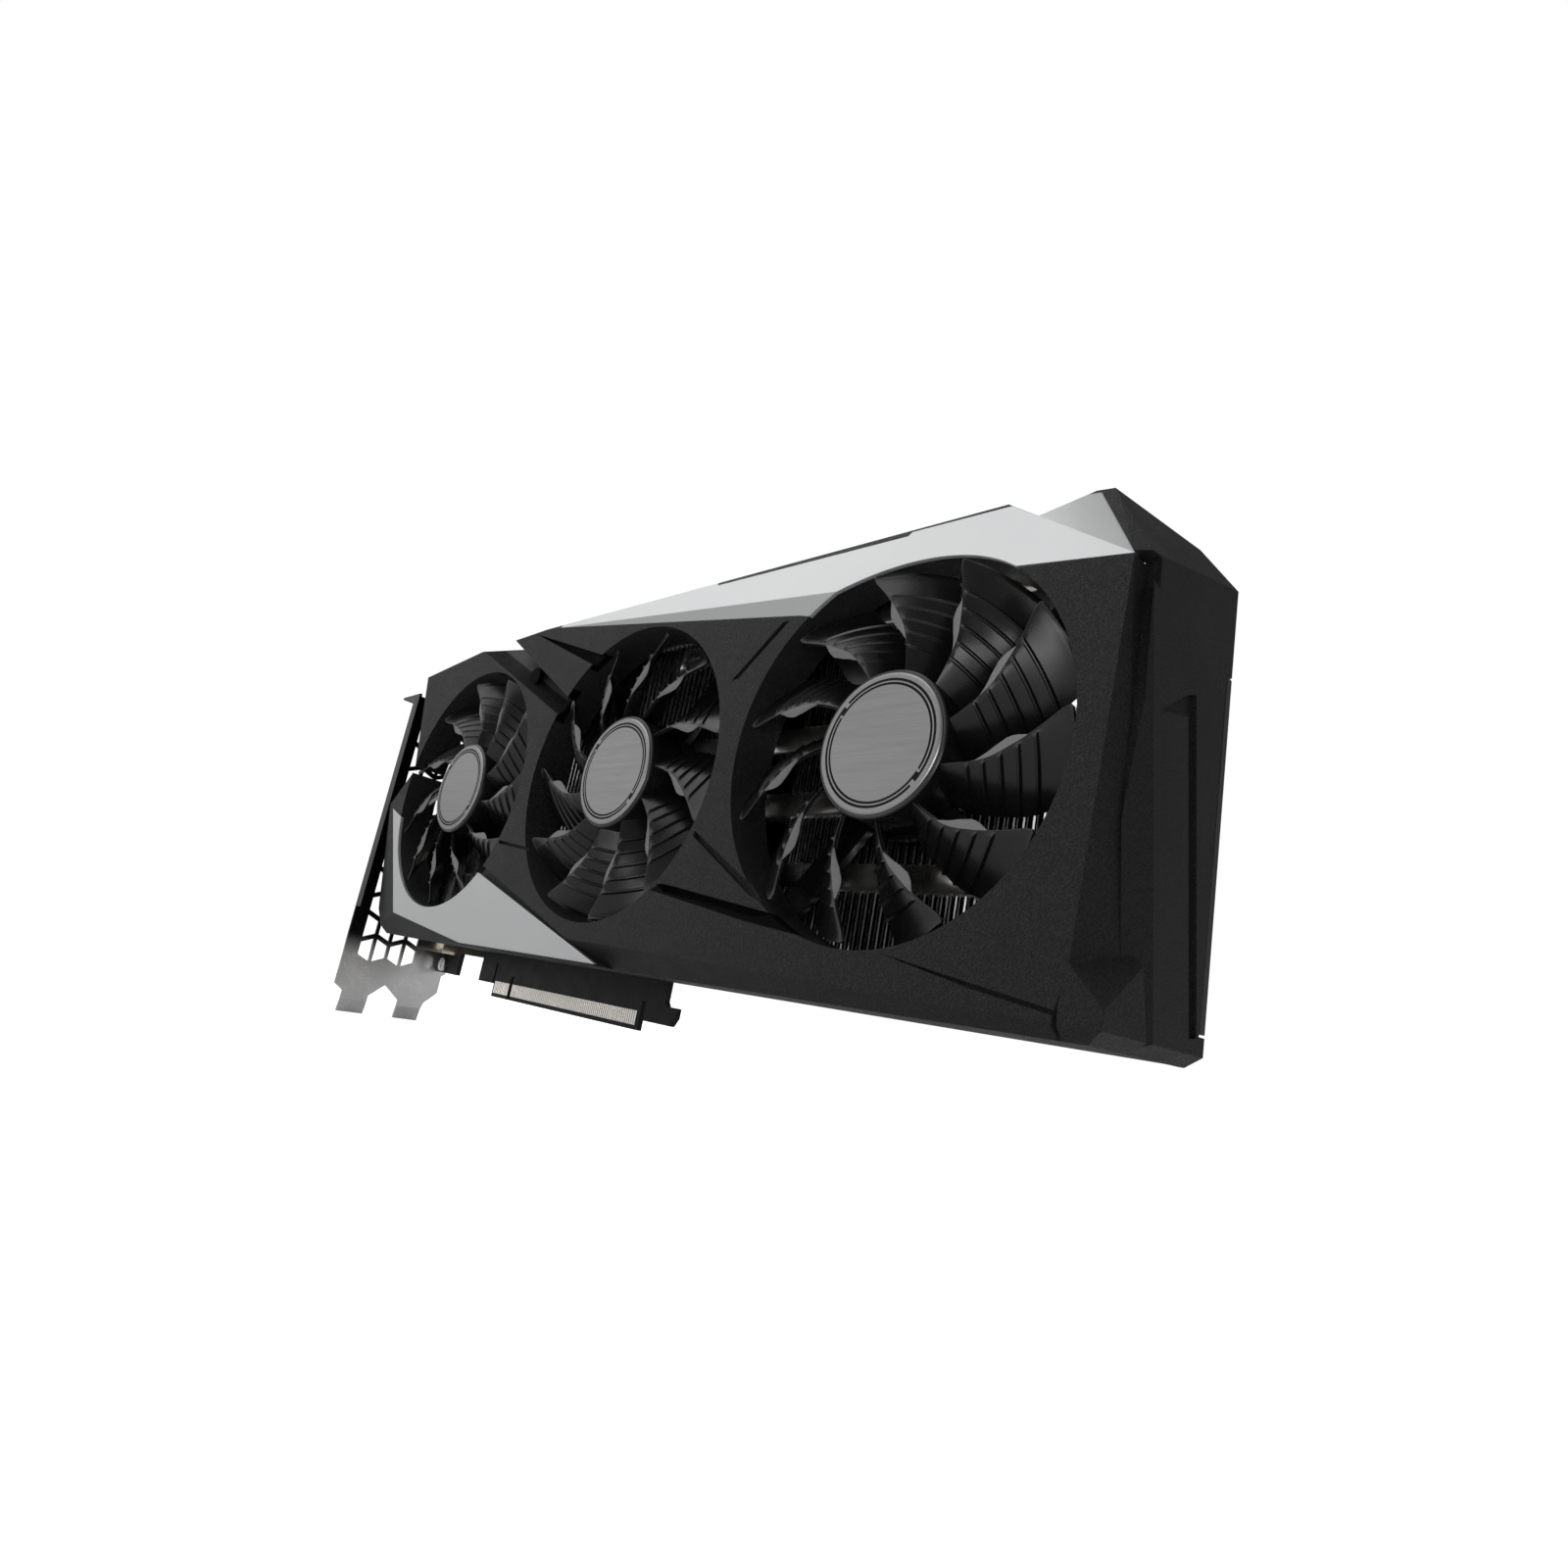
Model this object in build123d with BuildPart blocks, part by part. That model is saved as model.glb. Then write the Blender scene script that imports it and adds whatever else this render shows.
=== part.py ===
"""Triple-fan graphics card, two slots wide, built as separate pieces.

Frame: +X runs along the card away from the slot bracket, +Y from the fans
towards the backplate, +Z from the edge connector up to the free long edge.
The origin is the key notch of the edge connector, at the connector's lower
edge, on the middle plane of the circuit board.  Lengths are in millimetres.
"""
from build123d import *
import math
import os

# ---------------------------------------------------------------- card
CARD_END_X = 225.0
FRONT_Y = -37.5
BACK_Y = 3.3
TOP_Z = 117.0
BOTTOM_Z = 14.8
SHROUD_BACK_Y = -3.0
WALL = 2.0

# ---------------------------------------------------------------- fans
FAN_NAMES = ["left", "middle", "right"]
FAN_PITCH = 87.0
FAN_FIRST_X = 1.5
FAN_Z = 64.8
FAN_SWEEP_SIGN = [1, -1, 1]
BLADE_COUNT = 11
OPENING_R = 40.1
DUCT_WALL = 1.6
DUCT_DEPTH = 11.1
HUB_R = 15.3
HUB_WALL = 1.3
HUB_FRONT_Y = -36.9
HUB_BACK_Y = -26.9
HUB_CAP = 1.5
BADGE_R = 14.4
BADGE_THICK = 0.4
BLADE_TIP_R = 38.8
BLADE_FRONT_Y = -36.2
BLADE_BACK_Y = -27.3
BLADE_THICK = 1.1
BLADE_LEAD_SWEEP = 22.0
BLADE_CHORD_ANGLE = 23.0
BLADE_PHASE = -17.0
SHAFT_R = 1.5
BEARING_CLEARANCE = 0.03
BEARING_R = 3.0
MAGNET_R = 12.3
STATOR_R = 11.8
STATOR_POLES = 9
BASE_FRONT_Y = -26.3
BASE_BACK_Y = -24.3
BASE_R = 16.5
STRUT_ANGLES = [50, 130, 230, 310]
STRUT_REACH = 46.0
BOSS_R = 3.0
FAN_SCREW_R = 1.2
FAN_SCREW_HEAD_R = 2.4

# ---------------------------------------------------------------- board
PCB_THICK = 1.6
PCB_FRONT_Y = -PCB_THICK / 2
PCB_BACK_Y = PCB_THICK / 2
PCB_LEFT_X = -56.5
PCB_RIGHT_X = 136.0
PCB_TOP_Z = 104.5
PCB_LOWER_Z = 4.4
TONGUE_LEFT_X = -11.8
TONGUE_RIGHT_X = 73.5
KEY_WIDTH = 1.9
KEY_HEIGHT = 7.9
CONTACT_PITCH = 1.0
CONTACT_WIDTH = 0.7
CONTACT_BOTTOM_Z = 1.3
CONTACT_TOP_Z = 5.4
CONTACT_THICK = 0.1
SHORT_CONTACTS = 11
LONG_CONTACTS = 71
CONTACT_FIRST_X = 1.5

# ---------------------------------------------------------------- cooler
FIN_PITCH = 2.0
FIN_THICK = 0.4
FIN_FRONT_Y = -22.5
MAIN_FIN_BACK_Y = -7.2
END_FIN_BACK_Y = -2.0
FIN_BOTTOM_Z = 18.5
FIN_TOP_Z = 107.5
MAIN_FINS_X = (-35.0, 127.0)
END_FINS_X = (140.0, 212.0)
MAIN_SPINES_Z = [18.7, 50.0, 85.0, 107.3]
END_SPINES_Z = [18.7, 50.0, 68.0, 88.0, 107.3]
END_NOTCH = [(-23.0, 72.0), (-23.0, 86.6), (-1.0, 99.0), (-1.0, 72.0)]
END_NOTCH_X = (189.0, 213.0)
PIPE_R = 3.0
PIPE_Z = [41.5, 58.0, 74.0, 102.5]
PIPE_FLAT = 3.4
PIPE_CORNER = 1.0
PIPE_HIGH_Y = -18.8
PIPE_LOW_Y = -9.3
COLD_PLATE_Y = (-6.3, -2.8)
GPU_X = 42.0
GPU_Z = 60.0

# ---------------------------------------------------------------- bracket
BRACKET_THICK = 0.86
BRACKET_X = -57.9
BRACKET_Y = (-36.8, 2.84)
BRACKET_TOP_Z = 105.2
BRACKET_SHOULDER_Z = -3.8
BRACKET_BEND_Z = -10.5
BRACKET_TIP_Z = -15.0
TAB_LENGTH = 11.4
TONGUE_YS = [(-33.5, -24.0), (-12.8, -3.5)]
VENT_FIRST = (-31.7, 3.9)
VENT_PITCH = (5.5, 8.2)
VENT_WIDTH = 4.3
VENT_SIDE = 4.5
VENT_RISE = 1.9
VENT_COLUMNS = 4
VENT_ROWS = 11
FLANGE_WIDTH = 4.4
FLANGE_BOTTOM_Z = 22.5
PORT_Y = (-7.0, -1.0)
PORT_DEPTH = 14.0
PORT_SHELL = 0.5
PORT_TONGUE_RECESS = 5.0
HDMI_Z = [40.0, 81.0]
HDMI_LENGTH = 15.0
DISPLAYPORT_Z = [19.5, 60.5]
DISPLAYPORT_LENGTH = 16.0
LUG_SCREW = (-52.0, 7.4)
LUG_SCREW_R = 1.5
LUG_SCREW_HEAD_R = 2.5

# ---------------------------------------------------------------- power and backplate
SOCKET_Y = (-10.6, -0.8)
SOCKET_Z = (93.0, 105.5)
SOCKET_WALL = 1.0
SOCKET_FLOOR = 2.0
PIN_PITCH = 4.2
PIN_SIZE = 1.1
PIN_HEIGHT = 5.0
SOCKETS = {"power_socket_6pin": (101.5, 3), "power_socket_8pin": (120.0, 4)}
BACKPLATE_Y = (1.8, BACK_Y)
BACKPLATE_X = (-55.8, 222.6)
BACKPLATE_Z = (15.5, 105.3)
FLANGE_Z = (20.8, 87.2)
FLOW_WINDOW_X = (148.0, 212.0)
FLOW_WINDOW_Z = (28.0, 102.0)
STANDOFFS = [(-46.0, 24.0), (-46.0, 97.0), (128.0, 24.0), (128.0, 66.0), (90.0, 98.0), (90.0, 21.0)]
PLATE_HEAD_R = 2.3
PLATE_HEAD_DEPTH = 0.8
SPRING_OFFSET = 30.0
LIGHT_BAR_X = (96.0, 168.0)
LIGHT_BAR_Y = (-22.0, -15.0)
LIGHT_BAR_SLANT = 6.0
LIGHT_BAR_THICK = 1.2

FAN_XS = [FAN_FIRST_X + i * FAN_PITCH for i in range(3)]


# ---------------------------------------------------------------- helpers
def facet(p, q, r, inset=0.0):
    """Plane through three points, its normal away from the card's middle."""
    a, b, c = Vector(*p), Vector(*q), Vector(*r)
    normal = (b - a).cross(c - a).normalized()
    middle = Vector(85, -15, 65)
    if normal.dot(middle - a) > 0:
        normal = normal * -1
    return Plane(origin=a - normal * inset, z_dir=normal)


def front_prism(points, y_front, y_back):
    """Straight prism of an outline in the X-Z plane between two depths."""
    with BuildPart() as prism:
        with BuildSketch(Plane.XZ.offset(-y_back)):
            with BuildLine():
                Polyline(*points, close=True)
            make_face()
        extrude(amount=y_back - y_front)
    return prism.part


def direction(degrees):
    """Point direction around a fan axis, in X and Z."""
    turn = math.radians(degrees)
    return math.cos(turn), math.sin(turn)


def strut_ends(index):
    """X and Z of the screw bosses around one fan."""
    ends = []
    for angle in STRUT_ANGLES:
        cx, cz = direction(angle)
        ends.append((FAN_XS[index] + STRUT_REACH * cx, FAN_Z + STRUT_REACH * cz))
    return ends


def save(piece, name):
    piece.label = name
    export_step(piece, f"parts/{name}.step")


os.makedirs("parts", exist_ok=True)

# ---------------------------------------------------------------- facets
# Corners of the faceted shell, as (x, y, z).
SILVER_LEFT = (42.9, FRONT_Y, 113.9)
SILVER_RIGHT = (222.5, FRONT_Y, 93.0)
SILVER_PEAK = (191.0, -28.0, TOP_Z)
RIDGE_TOP = (209.9, -24.2, TOP_Z)
GAP_TOP = (207.7, -24.3, TOP_Z)
END_EDGE_TOP = (CARD_END_X, -36.0, 93.3)
END_EDGE_LOW = (CARD_END_X, -19.0, 17.0)
END_BACK_TOP = (CARD_END_X, BACK_Y, 105.9)
END_BACK_PEAK = (218.3, BACK_Y, 115.3)
CREASE_LOW = (219.0, FRONT_Y, 26.0)
GROOVE_LOW = (222.4, -28.0, 29.0)
CORNER_SIDE = (224.5, -21.0, 26.5)
CORNER_FOOT = (219.0, -30.0, BOTTOM_Z)
BEVEL_LEFT = (60.0, FRONT_Y, 21.0)
BEVEL_RIGHT = (219.0, FRONT_Y, 17.0)
BEVEL_FOOT = (60.0, -31.0, BOTTOM_Z)
HIP_TOP = (-50.5, FRONT_Y, 61.0)
HIP_SIDE = (-50.0, -31.4, 21.9)
HIP_FRONT = (-22.2, FRONT_Y, 21.7)
HIP_RIGHT = (29.2, FRONT_Y, 15.2)
HIP_FOOT = (-38.8, -31.0, 14.9)

VALLEY_FOOT = (199.8, -30.7, 110.3)
VALLEY_BACK_Y = -21.0
CORNER_FRONT = (CARD_END_X, FRONT_Y, 20.0)
CORNER_TOP = (CARD_END_X, -25.3, 28.1)

TOP_FACETS = [
    (SILVER_LEFT, SILVER_RIGHT, SILVER_PEAK),
    (SILVER_RIGHT, SILVER_PEAK, GAP_TOP),
    (SILVER_RIGHT, END_EDGE_TOP, RIDGE_TOP),
    (END_EDGE_TOP, END_BACK_TOP, END_BACK_PEAK),
]
LEFT_FACETS = [
    (HIP_TOP, HIP_SIDE, HIP_FRONT),
    (HIP_FRONT, HIP_RIGHT, HIP_FOOT),
]
CREASE_FACET = (SILVER_RIGHT, CREASE_LOW, GROOVE_LOW)
STRIP_FACET = (END_EDGE_TOP, END_EDGE_LOW, GROOVE_LOW)
CORNER_FACET = (CREASE_LOW, CORNER_SIDE, CORNER_FOOT)
BLOCK_FACET = (CREASE_LOW, CORNER_FRONT, CORNER_TOP)
BEVEL_FACET = (BEVEL_LEFT, BEVEL_RIGHT, BEVEL_FOOT)

OUTLINE = [
    (-48.5, 110.7), (-7.0, 114.3), (196.0, TOP_Z), (CARD_END_X, TOP_Z), (CARD_END_X, 17.0),
    (222.0, BOTTOM_Z), (-39.0, BOTTOM_Z), (-50.0, 23.0), (-50.0, 61.0), (-37.0, 73.0),
]
CAVITY_OUTLINE = [
    (-60.0, 107.6), (-7.0, 112.2), (196.0, 115.0), (223.0, 115.0), (223.0, 16.8),
    (-37.6, 16.8), (-48.0, 24.6), (-48.0, 59.5), (-60.0, 59.5),
]
# Valley between the two silver peaks of the top edge, and the wall under it.
VALLEY = [
    (SILVER_PEAK[0], TOP_Z), (VALLEY_FOOT[0], VALLEY_FOOT[2]), (GAP_TOP[0], TOP_Z),
    (GAP_TOP[0], TOP_Z + 2), (SILVER_PEAK[0], TOP_Z + 2),
]
VALLEY_WALL = [(188.0, TOP_Z), (VALLEY_FOOT[0], VALLEY_FOOT[2] - 2.5), (210.5, TOP_Z)]
# Block at the lower right corner, in front of the end cap, as seen from the end.
CORNER_BLOCK = [(FRONT_Y, BOTTOM_Z), (FRONT_Y, 30.0), (CORNER_TOP[1], 30.0), (CORNER_TOP[1], CORNER_TOP[2]),
                (-20.7, BOTTOM_Z)]
CORNER_BLOCK_X = (218.0, CARD_END_X)

# The end cap lies beyond this line of the front view.
END_CAP_OUTLINE = [
    (GAP_TOP[0], TOP_Z + 1), (SILVER_RIGHT[0], SILVER_RIGHT[2]), (GROOVE_LOW[0], GROOVE_LOW[2]),
    (221.0, 13.0), (CARD_END_X + 1, 13.0), (CARD_END_X + 1, TOP_Z + 1),
]


def faceted(outline, y_front, y_back, facets, inset):
    """Prism of an outline trimmed by facet planes moved inwards by inset."""
    with BuildPart() as body:
        add(front_prism(outline, y_front, y_back))
        for corners in facets:
            split(bisect_by=facet(*corners, inset=inset), keep=Keep.BOTTOM)
    return body.part


outer_body = faceted(OUTLINE, FRONT_Y, BACK_Y, TOP_FACETS + LEFT_FACETS, 0.0)
outer_body = outer_body - front_prism(VALLEY, FRONT_Y - 1, VALLEY_BACK_Y)
cavity_facets = TOP_FACETS + LEFT_FACETS + [CREASE_FACET, STRIP_FACET, CORNER_FACET, BEVEL_FACET]
cavity_body = faceted(CAVITY_OUTLINE, FRONT_Y + WALL, BACK_Y + 1, cavity_facets, WALL)
cavity_body = cavity_body - front_prism(VALLEY_WALL, FRONT_Y, VALLEY_BACK_Y + WALL)
with BuildPart() as corner_block:
    with BuildSketch(Plane.YZ.offset(CORNER_BLOCK_X[0])):
        with BuildLine():
            Polyline(*CORNER_BLOCK, close=True)
        make_face()
    extrude(amount=CORNER_BLOCK_X[1] - CORNER_BLOCK_X[0])
    split(bisect_by=facet(*BLOCK_FACET), keep=Keep.BOTTOM)
    add(outer_body, mode=Mode.INTERSECT)
end_region = front_prism(END_CAP_OUTLINE, FRONT_Y - 1, BACK_Y + 1)

# Outlines on the front face, X-Z.
CHANNEL = [(-7.0, 114.6), (53.5, 84.0), (58.0, 88.6), (14.7, 114.8)]
CHANNEL_RAMP = ((-7.0, FRONT_Y, 114.3), (53.5, FRONT_Y, 84.0), (10.5, -32.1, 114.3))
SILVER_TOP_OUTLINE = [
    (42.9, 113.9), (147.0, 97.0), (175.5, 90.0), (200.0, 96.2), (222.5, 93.0),
    (GAP_TOP[0], TOP_Z + 1), (170.0, TOP_Z + 1), (168.5, 114.8), (110.5, 114.8), (109.5, TOP_Z + 1),
    (43.0, TOP_Z + 1),
]
SILVER_LOW_OUTLINE = [
    (-46.8, 59.0), (-22.2, 21.7), (29.2, 15.2), (99.6, 15.2), (27.5, 37.2), (1.5, 50.0), (-37.9, 55.7),
]
GROOVES = [
    ([(27.5, 37.2), (32.5, 38.4), (83.0, 20.9), (99.6, 15.2)], 1.5),
    ([(28.9, 114.2), (67.8, 97.3), (72.1, 99.7)], 1.3),
    ([(38.0, 46.4), (56.5, 43.9), (56.5, 43.1), (38.0, 45.4)], 1.1),
    ([(126.5, 48.0), (152.5, 33.6), (157.0, 30.8), (148.0, 33.9), (126.5, 46.6)], 1.2),
    ([(116.5, 35.4), (123.0, 35.0), (156.0, 30.2), (151.0, 29.4), (120.0, 33.6)], 1.2),
    ([(128.5, 83.8), (142.5, 96.4), (144.5, 96.2), (131.0, 84.4)], 1.2),
    ([(183.0, 24.9), (222.0, 18.2), (222.0, 17.5), (203.0, 20.6)], 1.2),
]
BEVEL_OUTLINE = [(79.0, 21.5), (99.6, 15.2), (99.6, 13.0), (226.0, 13.0), (226.0, 21.5)]
CHANNEL_BACKING = [(-9.0, 113.6), (53.0, 82.0), (61.0, 89.0), (18.0, 114.2)]
CHANNEL_WALL = [(14.7, 114.4), (58.0, 88.6), (61.0, 89.0), (18.0, 114.4)]
END_GROOVE = [(221.0, 93.8), (225.2, 93.8), (222.7, 31.0), (221.0, 31.0)]
END_SLOT = [(-28.0, 69.3), (-16.9, 76.3), (-13.4, 77.7), (-0.6, 19.9), (-4.1, 19.5), (-16.2, 72.6)]
SILVER_THICK = 1.0

# Cutaways at the back edge of the shroud: over the power sockets, and beside the ports.
SOCKET_NOTCH_X = 112.0
SOCKET_NOTCH_LENGTH = 46.0
SOCKET_NOTCH_DEPTH = 10.5
SOCKET_NOTCH_HEIGHT = 16.0
HIP_CUT_X = -46.0
HIP_CUT_Z = 36.0
HIP_CUT_SIZE = (14.0, 11.0, 50.0)

# ---------------------------------------------------------------- silver accents
with BuildPart() as accent_top:
    add(outer_body)
    add(faceted(OUTLINE, FRONT_Y + SILVER_THICK, BACK_Y + 1, TOP_FACETS, SILVER_THICK), mode=Mode.SUBTRACT)
    add(front_prism(SILVER_TOP_OUTLINE, FRONT_Y - 1, -21.0), mode=Mode.INTERSECT)
    add(end_region, mode=Mode.SUBTRACT)
    with Locations(*[(x, FRONT_Y, FAN_Z) for x in FAN_XS]):
        Cylinder(OPENING_R, 30, rotation=(90, 0, 0), mode=Mode.SUBTRACT)
    split(bisect_by=Plane(origin=(0, 0, TOP_Z - SILVER_THICK), z_dir=(0, 0, 1)), keep=Keep.BOTTOM)
save(accent_top.part, "accent_top")

with BuildPart() as accent_lower:
    add(front_prism(SILVER_LOW_OUTLINE, FRONT_Y, FRONT_Y + SILVER_THICK))
    with Locations((FAN_XS[0], FRONT_Y, FAN_Z)):
        Cylinder(OPENING_R, 10, rotation=(90, 0, 0), mode=Mode.SUBTRACT)
save(accent_lower.part, "accent_lower")

# ---------------------------------------------------------------- shroud
ramp = facet(*CHANNEL_RAMP)
ramp_back = facet(*CHANNEL_RAMP, inset=WALL)
with BuildPart() as channel_backing:
    add(front_prism(CHANNEL_BACKING, FRONT_Y, -26.0))
    split(bisect_by=ramp, keep=Keep.BOTTOM)
    split(bisect_by=ramp_back, keep=Keep.TOP)
channel_wall = front_prism(CHANNEL_WALL, FRONT_Y, -31.0)
with BuildPart() as channel_cut:
    add(front_prism(CHANNEL, FRONT_Y - 1, -20.0))
    split(bisect_by=ramp, keep=Keep.TOP)
with BuildPart() as bevel_cut:
    add(front_prism(BEVEL_OUTLINE, FRONT_Y - 1, -22.0))
    split(bisect_by=facet(*BEVEL_FACET), keep=Keep.TOP)

with BuildPart() as light_bar:
    with BuildSketch(Plane(origin=(-7.0, 0, 114.3 - 0.4), x_dir=(203.0, 0, 2.7), z_dir=(-2.7, 0, 203.0))):
        with BuildLine():
            Polyline(
                (LIGHT_BAR_X[0], LIGHT_BAR_Y[0]), (LIGHT_BAR_X[1], LIGHT_BAR_Y[0]),
                (LIGHT_BAR_X[1] + LIGHT_BAR_SLANT, LIGHT_BAR_Y[1]),
                (LIGHT_BAR_X[0] + LIGHT_BAR_SLANT, LIGHT_BAR_Y[1]), close=True)
        make_face()
    extrude(amount=-LIGHT_BAR_THICK)
save(light_bar.part, "light_bar")

boss_ends = [end for i in range(3) for end in strut_ends(i)]
with BuildPart() as fan_supports:
    with Locations(*[(x, (FRONT_Y + BASE_FRONT_Y) / 2, z) for x, z in boss_ends]):
        Cylinder(BOSS_R, BASE_FRONT_Y - FRONT_Y, rotation=(90, 0, 0))
    with Locations(*[(x, FRONT_Y + DUCT_DEPTH / 2, FAN_Z) for x in FAN_XS]):
        Cylinder(OPENING_R + DUCT_WALL, DUCT_DEPTH, rotation=(90, 0, 0))
    add(faceted(OUTLINE, FRONT_Y + 1.5, BACK_Y, TOP_FACETS, 1.5), mode=Mode.INTERSECT)

with BuildPart() as shroud:
    add(outer_body)
    split(bisect_by=facet(*CREASE_FACET), keep=Keep.BOTTOM)
    split(bisect_by=facet(*CORNER_FACET), keep=Keep.BOTTOM)
    add(cavity_body, mode=Mode.SUBTRACT)
    add(channel_backing.part)
    add(channel_wall)
    add(channel_cut.part, mode=Mode.SUBTRACT)
    add(bevel_cut.part, mode=Mode.SUBTRACT)
    for points, depth in GROOVES:
        add(front_prism(points, FRONT_Y - 1, FRONT_Y + depth), mode=Mode.SUBTRACT)
    add(fan_supports.part)
    for i in range(3):
        with Locations(*[(x, BASE_FRONT_Y - 2.5, z) for x, z in strut_ends(i)]):
            Cylinder(FAN_SCREW_R, 5.0, rotation=(90, 0, 0), mode=Mode.SUBTRACT)
    with Locations(*[(x, FRONT_Y, FAN_Z) for x in FAN_XS]):
        Cylinder(OPENING_R, 4 * DUCT_DEPTH, rotation=(90, 0, 0), mode=Mode.SUBTRACT)
    add(accent_top.part, mode=Mode.SUBTRACT)
    add(accent_lower.part, mode=Mode.SUBTRACT)
    add(end_region, mode=Mode.SUBTRACT)
    add(corner_block.part)
    add(bevel_cut.part, mode=Mode.SUBTRACT)
    with Locations((SOCKET_NOTCH_X, SHROUD_BACK_Y, TOP_Z)):
        Box(SOCKET_NOTCH_LENGTH, 2 * SOCKET_NOTCH_DEPTH, SOCKET_NOTCH_HEIGHT, mode=Mode.SUBTRACT)
    with Locations((HIP_CUT_X, SHROUD_BACK_Y, HIP_CUT_Z)):
        Box(HIP_CUT_SIZE[0], 2 * HIP_CUT_SIZE[1], HIP_CUT_SIZE[2], mode=Mode.SUBTRACT)
    add(light_bar.part, mode=Mode.SUBTRACT)
    split(bisect_by=Plane(origin=(0, SHROUD_BACK_Y, 0), z_dir=(0, 1, 0)), keep=Keep.BOTTOM)
print("shroud solids", len(shroud.part.solids()))
save(shroud.part, "shroud")

# ---------------------------------------------------------------- end cap
with BuildPart() as end_cap:
    add(outer_body)
    add(cavity_body, mode=Mode.SUBTRACT)
    add(end_region, mode=Mode.INTERSECT)
    split(bisect_by=facet(*STRIP_FACET), keep=Keep.BOTTOM)
    add(corner_block.part, mode=Mode.SUBTRACT)
    add(front_prism(END_GROOVE, FRONT_Y - 1, -32.5), mode=Mode.SUBTRACT)
    with BuildSketch(Plane.YZ.offset(CARD_END_X - 1.0)):
        with BuildLine():
            Polyline(*END_SLOT, close=True)
        make_face()
    extrude(amount=2.0, mode=Mode.SUBTRACT)
    with Locations((CARD_END_X, BACK_Y, 54.0)):
        Box(6.0, 5.6, 67.4, mode=Mode.SUBTRACT)
save(end_cap.part, "end_cap")

# ---------------------------------------------------------------- fans
def blade(index, start):
    """One swept blade between hub and tip, its front edge leading."""
    sign = FAN_SWEEP_SIGN[index]
    stations = [HUB_R - 0.8, 23.0, 31.0, BLADE_TIP_R + 1.0]
    with BuildPart() as one:
        for r in stations:
            share = (r - HUB_R) / (BLADE_TIP_R - HUB_R)
            lead = start + BLADE_LEAD_SWEEP * share
            mid = math.radians(lead - BLADE_CHORD_ANGLE / 2) * sign
            half = r * math.radians(BLADE_CHORD_ANGLE / 2) * 0.94
            if sign < 0:
                mid = mid + math.pi
            centre = (r * math.cos(mid), 0, r * math.sin(mid))
            radial = Vector(math.cos(mid), 0, math.sin(mid))
            along = Vector(-math.sin(mid), 0, math.cos(mid)) * sign
            section = Plane(origin=centre, x_dir=along, z_dir=radial)
            front = (section.to_local_coords(Vector(centre[0], BLADE_FRONT_Y, centre[2]))).Y
            back = (section.to_local_coords(Vector(centre[0], BLADE_BACK_Y, centre[2]))).Y
            step = BLADE_THICK if back > front else -BLADE_THICK
            bend = (half * 0.1, front * 0.62 + back * 0.38)
            with BuildSketch(section):
                with BuildLine():
                    Polyline((half, front), bend, (-half, back - step), (-half, back),
                             (bend[0], bend[1] + step), (half, front + step), close=True)
                make_face()
        loft(ruled=True)
    return one.part


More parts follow.
